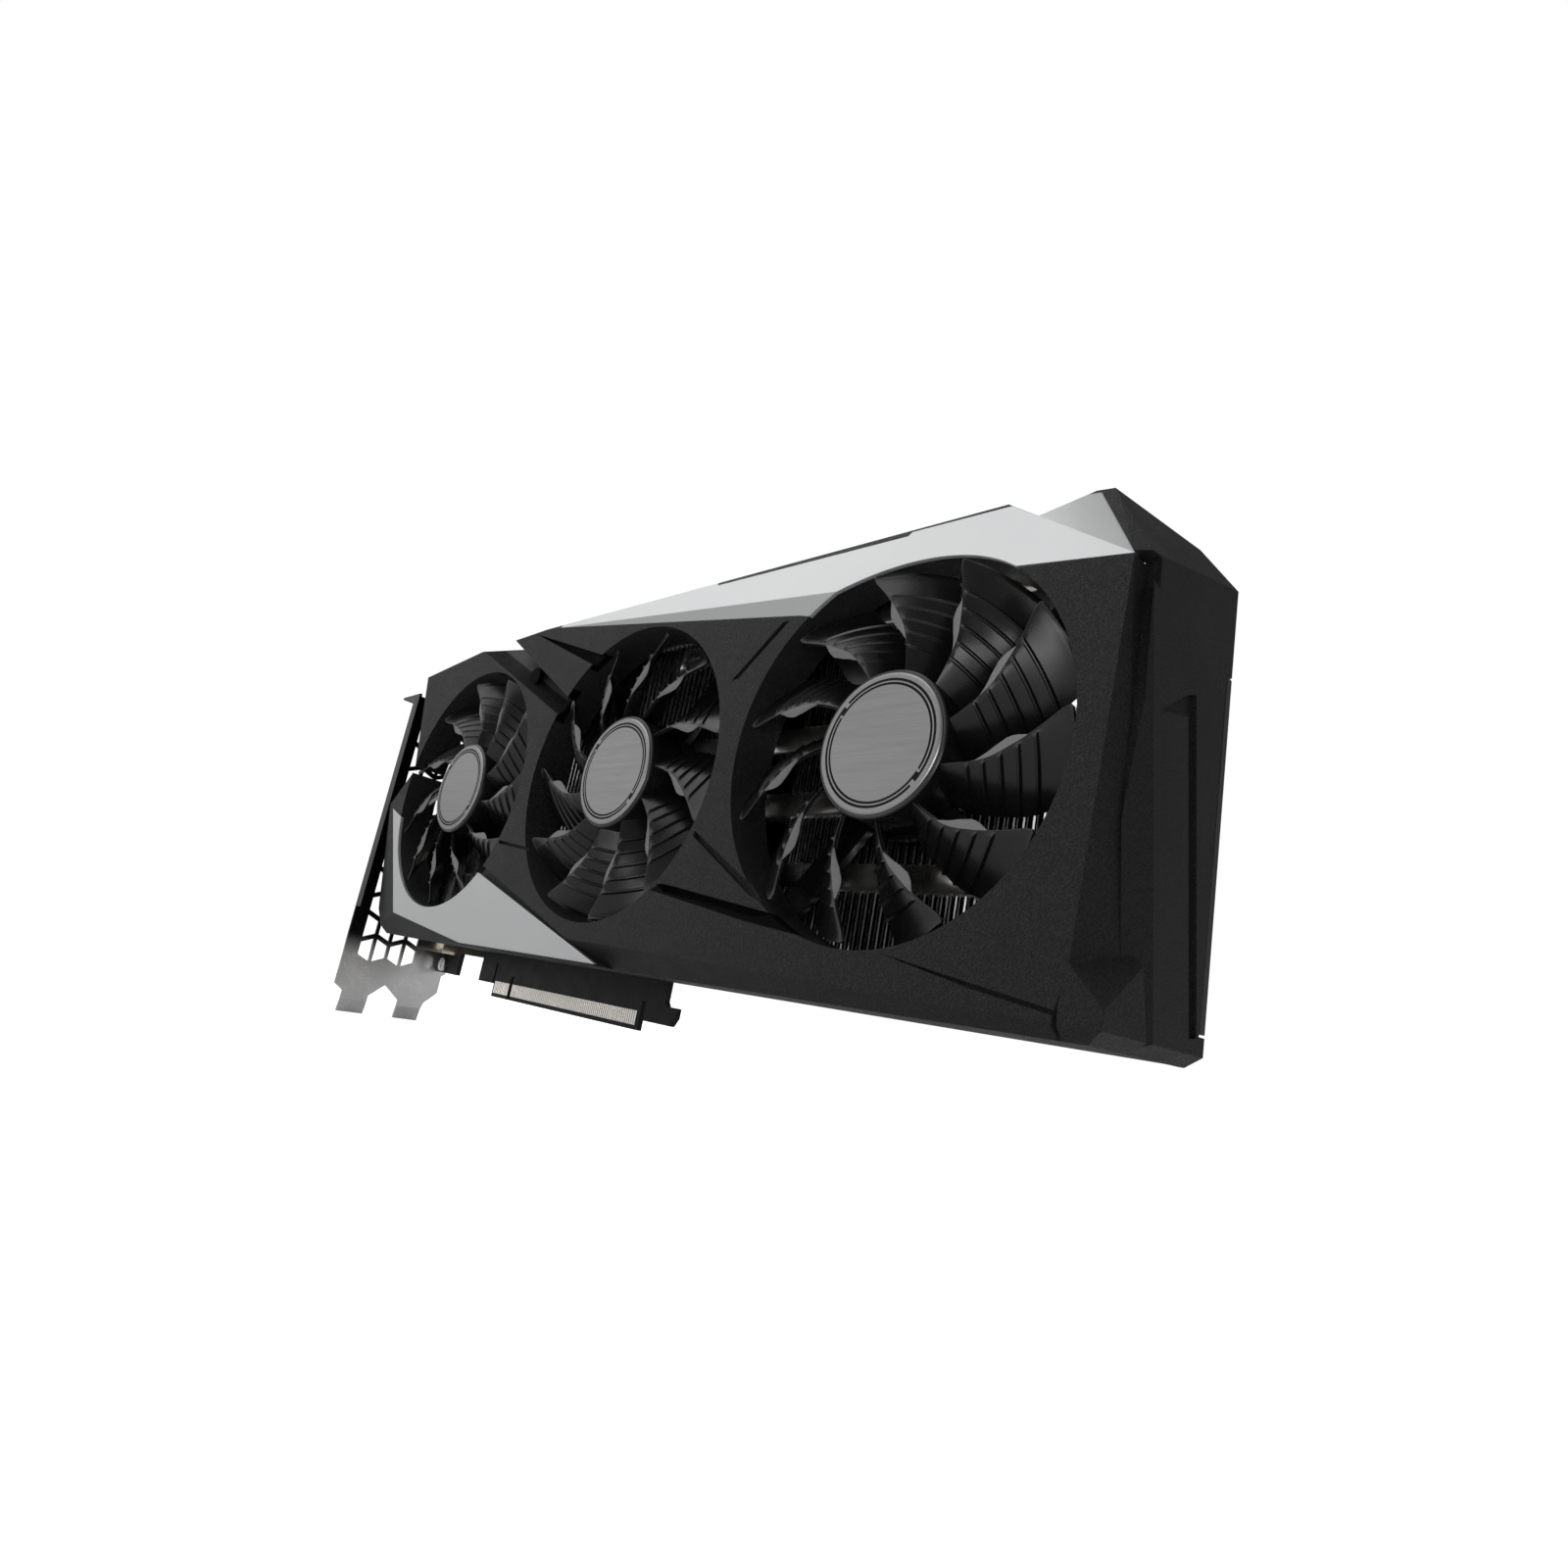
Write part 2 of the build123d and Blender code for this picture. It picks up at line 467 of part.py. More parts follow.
for i, name in enumerate(FAN_NAMES):
    x = FAN_XS[i]
    axis_plane = Plane(origin=(x, 0, FAN_Z), x_dir=(1, 0, 0), z_dir=(0, -1, 0))

    with BuildPart() as rotor:
        with BuildSketch(axis_plane.offset(-HUB_BACK_Y)):
            Circle(HUB_R)
        extrude(amount=HUB_BACK_Y - HUB_FRONT_Y)
        fillet(rotor.faces().sort_by(Axis.Y)[0].edges(), radius=0.5)
        for k in range(BLADE_COUNT):
            turned = blade(i, BLADE_PHASE + k * 360 / BLADE_COUNT)
            add(turned.moved(Location((x, 0, FAN_Z))))
        with BuildSketch(axis_plane.offset(-HUB_BACK_Y - 1)):
            Circle(BLADE_TIP_R)
        extrude(amount=HUB_BACK_Y - HUB_FRONT_Y + 2, mode=Mode.INTERSECT)
        with BuildSketch(axis_plane.offset(-HUB_BACK_Y)):
            Circle(HUB_R - HUB_WALL)
        extrude(amount=HUB_BACK_Y - HUB_FRONT_Y - HUB_CAP, mode=Mode.SUBTRACT)
    save(rotor.part, f"fan_rotor_{name}")

    with BuildPart() as badge:
        with BuildSketch(axis_plane.offset(-HUB_FRONT_Y)):
            Circle(BADGE_R)
        extrude(amount=BADGE_THICK)
    save(badge.part, f"hub_badge_{name}")

    with BuildPart() as shaft:
        with BuildSketch(axis_plane.offset(26.0)):
            Circle(SHAFT_R)
        extrude(amount=-HUB_FRONT_Y - HUB_CAP - 26.0)
    save(shaft.part, f"fan_shaft_{name}")

    with BuildPart() as magnet_ring:
        with BuildSketch(axis_plane.offset(27.5)):
            Circle(HUB_R - HUB_WALL)
            Circle(MAGNET_R, mode=Mode.SUBTRACT)
        extrude(amount=7.0)
    save(magnet_ring.part, f"magnet_ring_{name}")

    with BuildPart() as bearing:
        with BuildSketch(axis_plane.offset(25.0)):
            Circle(BEARING_R)
            Circle(SHAFT_R + BEARING_CLEARANCE, mode=Mode.SUBTRACT)
        extrude(amount=9.0)
    save(bearing.part, f"fan_bearing_{name}")

    with BuildPart() as stator:
        with BuildSketch(axis_plane.offset(27.3)):
            Circle(5.0)
            with PolarLocations(6.8, STATOR_POLES):
                Rectangle(6.0, 2.4)
            with PolarLocations(0, STATOR_POLES, start_angle=0):
                with BuildLine():
                    Polyline((9.6, -3.4), (STATOR_R - 0.4, -3.4), (STATOR_R, 0), (STATOR_R - 0.4, 3.4),
                             (9.6, 3.4), close=True)
                make_face()
            Circle(BEARING_R, mode=Mode.SUBTRACT)
        extrude(amount=5.7)
    save(stator.part, f"stator_{name}")

    with BuildPart() as motor_base:
        with BuildSketch(axis_plane.offset(-BASE_BACK_Y)):
            Circle(BASE_R)
            for angle in STRUT_ANGLES:
                cx, cz = direction(angle)
                with Locations(Location((STRUT_REACH / 2 * cx, STRUT_REACH / 2 * cz), angle)):
                    Rectangle(STRUT_REACH, 6.0)
                with Locations((STRUT_REACH * cx, STRUT_REACH * cz)):
                    Circle(BOSS_R)
            for angle in STRUT_ANGLES:
                cx, cz = direction(angle)
                with Locations((STRUT_REACH * cx, STRUT_REACH * cz)):
                    Circle(FAN_SCREW_R, mode=Mode.SUBTRACT)
        extrude(amount=BASE_BACK_Y - BASE_FRONT_Y)
        with BuildSketch(axis_plane.offset(25.0)):
            Circle(BEARING_R)
        extrude(amount=5.0, mode=Mode.SUBTRACT)
    save(motor_base.part, f"motor_base_{name}")

with BuildPart() as fan_screws:
    for i in range(3):
        for sx, sz in strut_ends(i):
            with Locations((sx, (BASE_BACK_Y + BASE_FRONT_Y - 5.0) / 2, sz)):
                Cylinder(FAN_SCREW_R, BASE_BACK_Y - BASE_FRONT_Y + 5.0, rotation=(90, 0, 0))
            with Locations((sx, BASE_BACK_Y + 0.6, sz)):
                Cylinder(FAN_SCREW_HEAD_R, 1.2, rotation=(90, 0, 0))
save(fan_screws.part, "fan_screws")

# ---------------------------------------------------------------- circuit board
with BuildPart() as pcb:
    with BuildSketch(Plane.XZ.offset(-PCB_BACK_Y)):
        with BuildLine():
            Polyline(
                (PCB_LEFT_X, PCB_LOWER_Z), (-41.0, PCB_LOWER_Z), (-41.0, 12.5), (-23.3, 12.5),
                (-23.3, PCB_LOWER_Z), (-12.9, PCB_LOWER_Z), (-12.9, 11.5), (TONGUE_LEFT_X, 11.5),
                (TONGUE_LEFT_X, 0), (TONGUE_RIGHT_X, 0),
                (TONGUE_RIGHT_X, 8.4), (75.3, 8.4), (75.3, 3.0), (87.6, 3.0), (89.2, 5.4), (89.2, 8.1),
                (84.6, 8.1), (83.6, 9.4), (83.6, 15.4), (PCB_RIGHT_X, 15.4), (PCB_RIGHT_X, PCB_TOP_Z),
                (PCB_LEFT_X, PCB_TOP_Z), close=True)
        make_face()
        with Locations((0, KEY_HEIGHT / 2)):
            Rectangle(KEY_WIDTH, KEY_HEIGHT, mode=Mode.SUBTRACT)
        with Locations(*[(GPU_X + sx * 30, GPU_Z + sz * 30) for sx in (-1, 1) for sz in (-1, 1)]):
            Circle(1.7, mode=Mode.SUBTRACT)
    extrude(amount=PCB_THICK)
save(pcb.part, "circuit_board")

contact_xs = [CONTACT_FIRST_X + i * CONTACT_PITCH for i in range(LONG_CONTACTS)]
contact_xs += [-CONTACT_FIRST_X - i * CONTACT_PITCH for i in range(SHORT_CONTACTS - 1)]
contact_height = CONTACT_TOP_Z - CONTACT_BOTTOM_Z
with BuildPart() as edge_contacts:
    for side_y in (PCB_FRONT_Y - CONTACT_THICK, PCB_BACK_Y):
        with BuildSketch(Plane.XZ.offset(-side_y - CONTACT_THICK)):
            with Locations(*[(x, CONTACT_BOTTOM_Z + contact_height / 2) for x in contact_xs]):
                Rectangle(CONTACT_WIDTH, contact_height)
        extrude(amount=CONTACT_THICK)
save(edge_contacts.part, "edge_contacts")


def block_group(name, centres, size, y_front, y_back):
    """Equal rectangular blocks on the board, centres in X-Z."""
    with BuildPart() as group:
        with BuildSketch(Plane.XZ.offset(-y_back)):
            with Locations(*centres):
                Rectangle(*size)
        extrude(amount=y_back - y_front)
    save(group.part, name)


MEMORY_CENTRES = [(8.0, 40.0), (8.0, 57.0), (8.0, 75.0), (30.0, 94.0), (50.0, 94.0), (76.0, 60.0)]
CHOKE_CENTRES = [(100.0, 26.0 + 9.0 * i) for i in range(8)]
STAGE_CENTRES = [(90.5, 26.0 + 9.0 * i) for i in range(8)]
CAPACITOR_CENTRES = [(110.0, 26.0 + 9.0 * i) for i in range(8)]

block_group("gpu_package", [(GPU_X, GPU_Z)], (37.5, 37.5), -2.0, PCB_FRONT_Y)
block_group("gpu_die", [(GPU_X, GPU_Z)], (19.0, 15.0), COLD_PLATE_Y[1], -2.0)
block_group("memory_chips", MEMORY_CENTRES, (12.0, 14.0), -2.0, PCB_FRONT_Y)
block_group("memory_pads", MEMORY_CENTRES, (12.0, 14.0), -3.0, -2.0)
block_group("power_chokes", CHOKE_CENTRES, (7.0, 7.0), -4.8, PCB_FRONT_Y)
block_group("power_stages", STAGE_CENTRES, (5.0, 6.0), -1.8, PCB_FRONT_Y)
block_group("power_stage_pads", [(90.5, 57.5)], (6.0, 72.0), -3.0, -1.8)
block_group("fan_headers", [(118.0, 88.0), (118.0, 76.0)], (6.0, 10.0), -5.8, PCB_FRONT_Y)

with BuildPart() as capacitors:
    with BuildSketch(Plane.XZ.offset(-PCB_FRONT_Y)):
        with Locations(*CAPACITOR_CENTRES):
            Circle(3.15)
    extrude(amount=6.0)
    fillet(capacitors.faces().filter_by(Axis.Y).group_by(Axis.Y)[0].edges(), radius=0.4)
save(capacitors.part, "capacitors")

# ---------------------------------------------------------------- cooler
with BuildPart() as cold_plate:
    with Locations((GPU_X, sum(COLD_PLATE_Y) / 2, GPU_Z)):
        Box(50.0, COLD_PLATE_Y[1] - COLD_PLATE_Y[0], 46.0)
save(cold_plate.part, "cold_plate")

with BuildPart() as cooler_plate:
    with BuildSketch(Plane.XZ.offset(3.0)):
        with Locations((46.0, 62.0)):
            Rectangle(96.0, 84.0)
        with Locations((GPU_X, GPU_Z)):
            Rectangle(50.6, 46.6, mode=Mode.SUBTRACT)
            with Locations(*[(sx * 30, sz * 30) for sx in (-1, 1) for sz in (-1, 1)]):
                Circle(1.7, mode=Mode.SUBTRACT)
    extrude(amount=1.4)
save(cooler_plate.part, "cooler_plate")


def pipe_solid(z, radius):
    """A heat pipe with a flattened front: low over the cold plate, high through the fins."""
    with BuildPart() as pipe:
        with BuildLine():
            FilletPolyline((-33.0, PIPE_HIGH_Y, z), (-4.0, PIPE_HIGH_Y, z), (14.0, PIPE_LOW_Y, z),
                           (70.0, PIPE_LOW_Y, z), (88.0, PIPE_HIGH_Y, z), (214.0, PIPE_HIGH_Y, z), radius=12.0)
        with BuildSketch(Plane(origin=(-33.0, PIPE_HIGH_Y, z), x_dir=(0, 1, 0), z_dir=(1, 0, 0))) as section:
            Circle(radius)
            with Locations((-PIPE_FLAT / 2, 0)):
                Rectangle(PIPE_FLAT, 2 * radius)
            fillet(section.vertices().group_by(Axis.Y)[0], radius=PIPE_CORNER)
        sweep()
    return pipe.part


with BuildPart() as heat_pipes:
    for z in PIPE_Z:
        add(pipe_solid(z, PIPE_R))
save(heat_pipes.part, "heat_pipes")


def fin_stack(name, x_range, y_back, spine_z):
    """Parallel fins tied together by thin folded edges."""
    count = int((x_range[1] - x_range[0]) / FIN_PITCH) + 1
    with BuildPart() as stack:
        with BuildSketch(Plane.XY.offset(FIN_BOTTOM_Z)):
            for k in range(count):
                with Locations((x_range[0] + k * FIN_PITCH, (FIN_FRONT_Y + y_back) / 2)):
                    Rectangle(FIN_THICK, y_back - FIN_FRONT_Y)
        extrude(amount=FIN_TOP_Z - FIN_BOTTOM_Z)
        middle_x = sum(x_range) / 2
        with Locations(*[(middle_x, y_back - 1.5, z) for z in spine_z]):
            Box(x_range[1] - x_range[0] + FIN_THICK, 3.0, 0.4)
        for z in PIPE_Z:
            add(pipe_solid(z, PIPE_R), mode=Mode.SUBTRACT)
            for x0, x1 in ((x_range[0] - 1, -4.5), (88.5, x_range[1] + 1)):
                if x1 > max(x0, x_range[0]):
                    lo = max(x0, x_range[0] - 1)
                    hi = min(x1, x_range[1] + 1)
                    if hi > lo:
                        with Locations(((lo + hi) / 2, (PIPE_HIGH_Y + FIN_FRONT_Y - 1) / 2, z)):
                            Box(hi - lo, PIPE_HIGH_Y - FIN_FRONT_Y + 1, 2 * PIPE_R, mode=Mode.SUBTRACT)
        if name == "fin_stack_main":
            with Locations((112.0, -8.0, 100.0)):
                Box(46.0, 12.0, 24.0, mode=Mode.SUBTRACT)
        if name == "fin_stack_end":
            with BuildSketch(Plane.YZ.offset(END_NOTCH_X[0])):
                with BuildLine():
                    Polyline(*END_NOTCH, close=True)
                make_face()
            extrude(amount=END_NOTCH_X[1] - END_NOTCH_X[0], mode=Mode.SUBTRACT)
    print(name, "solids", len(stack.part.solids()))
    save(stack.part, name)


fin_stack("fin_stack_main", MAIN_FINS_X, MAIN_FIN_BACK_Y, MAIN_SPINES_Z)
fin_stack("fin_stack_end", END_FINS_X, END_FIN_BACK_Y, END_SPINES_Z)

# ---------------------------------------------------------------- bracket
def vent(column, row):
    """Half of a hexagon, tallest at the bar that it shares with its other half."""
    y0 = VENT_FIRST[0] + column * VENT_PITCH[0]
    y1 = y0 + VENT_WIDTH
    z0 = VENT_FIRST[1] + row * VENT_PITCH[1]
    low, high = z0, z0 + VENT_SIDE + 2 * VENT_RISE
    if (column + row) % 2:
        return [(y0, low), (y1, low + VENT_RISE), (y1, high - VENT_RISE), (y0, high)]
    return [(y0, low + VENT_RISE), (y1, low), (y1, high), (y0, high - VENT_RISE)]


with BuildPart() as bracket:
    with BuildSketch(Plane.YZ.offset(BRACKET_X)):
        with BuildLine():
            Polyline(
                (BRACKET_Y[0], BRACKET_TOP_Z), (BRACKET_Y[0], -5.4), (-33.5, -7.6),
                (TONGUE_YS[0][0], BRACKET_BEND_Z), (TONGUE_YS[0][1], BRACKET_BEND_Z),
                (TONGUE_YS[0][1], -8.4),
                (-18.8, -3.7), (TONGUE_YS[1][0], -8.4), (TONGUE_YS[1][0], BRACKET_BEND_Z),
                (TONGUE_YS[1][1], BRACKET_BEND_Z), (-2.8, -8.2), (1.5, BRACKET_SHOULDER_Z), (1.5, 2.6),
                (BRACKET_Y[1], 3.6), (BRACKET_Y[1], BRACKET_TOP_Z), close=True)
        make_face()
        for row in range(VENT_ROWS):
            for column in range(VENT_COLUMNS):
                with BuildLine():
                    Polyline(*vent(column, row), close=True)
                make_face(mode=Mode.SUBTRACT)
        for z in HDMI_Z:
            with Locations((sum(PORT_Y) / 2, z)):
                Rectangle(PORT_Y[1] - PORT_Y[0], HDMI_LENGTH, mode=Mode.SUBTRACT)
        for z in DISPLAYPORT_Z:
            with Locations((sum(PORT_Y) / 2, z)):
                Rectangle(PORT_Y[1] - PORT_Y[0], DISPLAYPORT_LENGTH, mode=Mode.SUBTRACT)
    extrude(amount=BRACKET_THICK)
    tip_shift = 0.8
    for y_low, y_high in TONGUE_YS:
        with BuildSketch(Plane.XZ.offset(-y_high)):
            with BuildLine():
                Polyline((BRACKET_X, BRACKET_BEND_Z), (BRACKET_X + BRACKET_THICK, BRACKET_BEND_Z),
                         (BRACKET_X + BRACKET_THICK - tip_shift, BRACKET_TIP_Z),
                         (BRACKET_X - tip_shift, BRACKET_TIP_Z), close=True)
            make_face()
        extrude(amount=y_high - y_low)
    tab_x = BRACKET_X + BRACKET_THICK - TAB_LENGTH / 2
    with Locations((tab_x, sum(BRACKET_Y) / 2, BRACKET_TOP_Z - BRACKET_THICK / 2)):
        Box(TAB_LENGTH, BRACKET_Y[1] - BRACKET_Y[0], BRACKET_THICK)
    flange_z = (FLANGE_BOTTOM_Z + BRACKET_TOP_Z) / 2
    with Locations((BRACKET_X + FLANGE_WIDTH / 2, BRACKET_Y[0] + BRACKET_THICK / 2, flange_z)):
        Box(FLANGE_WIDTH, BRACKET_THICK, BRACKET_TOP_Z - FLANGE_BOTTOM_Z)
    with Locations(*[(BRACKET_X + BRACKET_THICK - TAB_LENGTH, y, BRACKET_TOP_Z) for y in (-24.6, -4.3)]):
        Cylinder(2.2, 6.0, mode=Mode.SUBTRACT)
save(bracket.part, "bracket")

# ---------------------------------------------------------------- ports
def port_group(name, z_centres, length):
    """Receptacle shells, open towards the bracket, each with its tongue."""
    depth_y = PORT_Y[1] - PORT_Y[0]
    middle_y = sum(PORT_Y) / 2
    with BuildPart() as group:
        with BuildSketch(Plane.YZ.offset(BRACKET_X)):
            with Locations(*[(middle_y, z) for z in z_centres]):
                Rectangle(depth_y, length)
        extrude(amount=PORT_DEPTH)
        with BuildSketch(Plane.YZ.offset(BRACKET_X)):
            with Locations(*[(middle_y, z) for z in z_centres]):
                Rectangle(depth_y - 2 * PORT_SHELL, length - 2 * PORT_SHELL)
        extrude(amount=PORT_DEPTH - 1.5, mode=Mode.SUBTRACT)
        with BuildSketch(Plane.YZ.offset(BRACKET_X + PORT_TONGUE_RECESS)):
            with Locations(*[(middle_y - 0.5, z) for z in z_centres]):
                Rectangle(1.2, length - 4.0)
        extrude(amount=PORT_DEPTH - PORT_TONGUE_RECESS)
    save(group.part, name)


port_group("hdmi_ports", HDMI_Z, HDMI_LENGTH)
port_group("display_ports", DISPLAYPORT_Z, DISPLAYPORT_LENGTH)

with BuildPart() as lug_screws:
    for x, z in (LUG_SCREW, (-52.0, 99.5)):
        with Locations((x, PCB_FRONT_Y - 0.7, z)):
            Cylinder(LUG_SCREW_HEAD_R, 1.4, rotation=(90, 0, 0))
        with Locations((x, PCB_FRONT_Y - 1.0, z)):
            Box(2.6, 0.8, 0.6, mode=Mode.SUBTRACT)
            Box(0.6, 0.8, 2.6, mode=Mode.SUBTRACT)
save(lug_screws.part, "lug_screws")

# ---------------------------------------------------------------- power sockets
for name, (x, columns) in SOCKETS.items():
    width = columns * PIN_PITCH + 2 * SOCKET_WALL
    middle_y = sum(SOCKET_Y) / 2
    depth = SOCKET_Y[1] - SOCKET_Y[0]
    with BuildPart() as socket:
        with BuildSketch(Plane.XY.offset(SOCKET_Z[0])):
            with Locations((x, middle_y)):
                Rectangle(width, depth)
        extrude(amount=SOCKET_Z[1] - SOCKET_Z[0])
        with BuildSketch(Plane.XY.offset(SOCKET_Z[0] + SOCKET_FLOOR)):
            with Locations((x, middle_y)):
                Rectangle(width - 2 * SOCKET_WALL, depth - 2 * SOCKET_WALL)
        extrude(amount=SOCKET_Z[1] - SOCKET_Z[0], mode=Mode.SUBTRACT)
        with BuildSketch(Plane.XY.offset(SOCKET_Z[0])):
            with Locations((x, middle_y)):
                with GridLocations(PIN_PITCH, PIN_PITCH, columns, 2):
                    Rectangle(PIN_SIZE, PIN_SIZE)
        extrude(amount=SOCKET_FLOOR + PIN_HEIGHT)
    save(socket.part, name)

# ---------------------------------------------------------------- backplate
with BuildPart() as backplate:
    with BuildSketch(Plane.XZ.offset(-BACKPLATE_Y[1])):
        with BuildLine():
            Polyline(
                (BACKPLATE_X[0], BACKPLATE_Z[0]), (216.0, BACKPLATE_Z[0]), (BACKPLATE_X[1], 20.0),
                (BACKPLATE_X[1], 96.0), (213.0, BACKPLATE_Z[1]), (BACKPLATE_X[0] + 6.0, BACKPLATE_Z[1]),
                (BACKPLATE_X[0], BACKPLATE_Z[1] - 6.0), close=True)
        make_face()
        with BuildLine():
            Polyline(
                (FLOW_WINDOW_X[0], FLOW_WINDOW_Z[0] + 14), (FLOW_WINDOW_X[0] + 10, FLOW_WINDOW_Z[0]),
                (FLOW_WINDOW_X[1], FLOW_WINDOW_Z[0]), (FLOW_WINDOW_X[1], FLOW_WINDOW_Z[1] - 14),
                (FLOW_WINDOW_X[1] - 10, FLOW_WINDOW_Z[1]), (FLOW_WINDOW_X[0], FLOW_WINDOW_Z[1]), close=True)
        make_face(mode=Mode.SUBTRACT)
        for k in range(5):
            with BuildLine():
                Polyline((-40.0 + 7.0 * k, 84.0), (-36.8 + 7.0 * k, 84.0), (-28.8 + 7.0 * k, 98.0),
                         (-32.0 + 7.0 * k, 98.0), close=True)
            make_face(mode=Mode.SUBTRACT)
        with Locations((GPU_X, GPU_Z)):
            Rectangle(70.0, 70.0, mode=Mode.SUBTRACT)
        with Locations(*STANDOFFS):
            Circle(1.3, mode=Mode.SUBTRACT)
    extrude(amount=BACKPLATE_Y[1] - BACKPLATE_Y[0])
    with BuildSketch(Plane.XZ.offset(-BACKPLATE_Y[0])):
        with Locations(*STANDOFFS):
            Circle(2.4)
            Circle(1.3, mode=Mode.SUBTRACT)
    extrude(amount=BACKPLATE_Y[0] - PCB_BACK_Y)
    with Locations(*[(x, BACK_Y - PLATE_HEAD_DEPTH / 2, z) for x, z in STANDOFFS]):
        Cylinder(PLATE_HEAD_R + 0.1, PLATE_HEAD_DEPTH, rotation=(90, 0, 0), mode=Mode.SUBTRACT)
    with Locations(((BACKPLATE_X[1] - 0.1 + CARD_END_X) / 2, (1.0 + BACK_Y) / 2, sum(FLANGE_Z) / 2)):
        Box(CARD_END_X - BACKPLATE_X[1] + 0.1, BACK_Y - 1.0, FLANGE_Z[1] - FLANGE_Z[0])
print("backplate solids", len(backplate.part.solids()))
save(backplate.part, "backplate")

with BuildPart() as backplate_screws:
    with Locations(*[(x, (BACK_Y - 0.3 + PCB_BACK_Y) / 2, z) for x, z in STANDOFFS]):
        Cylinder(1.3, BACK_Y - 0.3 - PCB_BACK_Y, rotation=(90, 0, 0))
    with Locations(*[(x, BACK_Y - 0.1 - (PLATE_HEAD_DEPTH - 0.1) / 2, z) for x, z in STANDOFFS]):
        Cylinder(PLATE_HEAD_R, PLATE_HEAD_DEPTH - 0.1, rotation=(90, 0, 0))
save(backplate_screws.part, "backplate_screws")

# ---------------------------------------------------------------- cooler clamp
spring_corners = [(sx * SPRING_OFFSET, sz * SPRING_OFFSET) for sx in (-1, 1) for sz in (-1, 1)]
spring_points = [(GPU_X + dx, GPU_Z + dz) for dx, dz in spring_corners]
with BuildPart() as clamp_plate:
    with BuildSketch(Plane.XZ.offset(-PCB_BACK_Y - 0.8)):
        with Locations(*[Location((GPU_X, GPU_Z), angle) for angle in (45, 135)]):
            Rectangle(2 * SPRING_OFFSET * math.sqrt(2) + 7.0, 6.0)
    extrude(amount=0.8)
    with BuildSketch(Plane.XZ.offset(-PCB_BACK_Y - 0.8)):
        with Locations(*spring_points):
            Circle(1.7)
    extrude(amount=0.8, mode=Mode.SUBTRACT)
save(clamp_plate.part, "clamp_plate")

with BuildPart() as clamp_screws:
    with Locations(*[(x, (1.6 - 4.4) / 2, z) for x, z in spring_points]):
        Cylinder(1.45, 6.0, rotation=(90, 0, 0))
    with Locations(*[(x, 2.2, z) for x, z in spring_points]):
        Cylinder(2.8, 1.2, rotation=(90, 0, 0))
save(clamp_screws.part, "clamp_screws")
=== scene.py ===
"""Looks of a triple-fan graphics card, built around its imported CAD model.

The frame is the card's own: +X away from the slot bracket, +Y from the fans to the
backplate, +Z up from the edge connector.  Blender works in metres.  Outlines, places on
the card and the sizes of surface detail are written in millimetres and turned into
metres with MM.  The fan rotors and hub badges are modelled here and replace their plain
CAD nodes; every other node keeps its CAD shape and gets a material.
"""
import math

import bpy
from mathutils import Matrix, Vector


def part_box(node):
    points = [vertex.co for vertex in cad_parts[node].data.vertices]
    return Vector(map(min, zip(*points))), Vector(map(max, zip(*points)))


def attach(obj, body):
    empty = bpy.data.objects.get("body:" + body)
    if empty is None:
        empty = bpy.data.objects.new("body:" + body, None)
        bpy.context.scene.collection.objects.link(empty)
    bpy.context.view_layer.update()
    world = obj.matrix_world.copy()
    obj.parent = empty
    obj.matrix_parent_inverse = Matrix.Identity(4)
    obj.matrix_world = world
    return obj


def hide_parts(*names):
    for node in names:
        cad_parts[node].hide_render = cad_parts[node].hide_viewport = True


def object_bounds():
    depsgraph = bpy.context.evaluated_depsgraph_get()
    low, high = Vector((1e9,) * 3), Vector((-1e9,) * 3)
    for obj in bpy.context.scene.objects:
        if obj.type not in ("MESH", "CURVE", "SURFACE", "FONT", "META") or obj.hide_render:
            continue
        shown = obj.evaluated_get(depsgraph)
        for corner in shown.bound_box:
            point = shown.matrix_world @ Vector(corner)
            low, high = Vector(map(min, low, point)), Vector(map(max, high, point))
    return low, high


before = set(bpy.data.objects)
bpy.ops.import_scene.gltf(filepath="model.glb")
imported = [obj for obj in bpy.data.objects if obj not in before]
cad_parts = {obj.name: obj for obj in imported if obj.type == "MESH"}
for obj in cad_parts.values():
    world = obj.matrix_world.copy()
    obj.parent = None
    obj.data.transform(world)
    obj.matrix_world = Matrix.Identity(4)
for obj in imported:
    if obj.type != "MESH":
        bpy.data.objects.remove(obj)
cad_low, cad_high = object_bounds()

MM = 0.001
FANS = ["left", "middle", "right"]

# ---------------------------------------------------------------- camera
# Its place and clipping distances are in metres, its angles in degrees, its lens and sensor in millimetres.
CAMERA_PLACE = (0.28041, -0.16122, 0.01104)
CAMERA_ANGLES = (102.356, -10.171, 43.052)
CAMERA_LENS = 20.323
CAMERA_SENSOR = 36.0
CAMERA_SHIFT = (-0.00234, 0.02543)
CAMERA_NEAR = 0.005
CAMERA_FAR = 50.0

camera = bpy.data.objects.new("camera", bpy.data.cameras.new("camera"))
bpy.context.scene.collection.objects.link(camera)
camera.location = CAMERA_PLACE
camera.rotation_euler = [math.radians(a) for a in CAMERA_ANGLES]
camera.data.lens = CAMERA_LENS
camera.data.sensor_width = CAMERA_SENSOR
camera.data.shift_x, camera.data.shift_y = CAMERA_SHIFT
camera.data.clip_start = CAMERA_NEAR
camera.data.clip_end = CAMERA_FAR
bpy.context.scene.camera = camera

# ---------------------------------------------------------------- node helpers
# Sockets of the Mix node for each kind of data: its two inputs and its output.
MIX_SOCKETS = {"RGBA": (6, 7, 2), "VECTOR": (4, 5, 1)}
# Noise mostly stays within this span, so roughness is spread over it.
NOISE_SPAN = (0.25, 0.75)


def tint(value):
    """A grey level or a colour as four numbers."""
    return (value, value, value, 1.0) if isinstance(value, float) else (*value, 1.0)


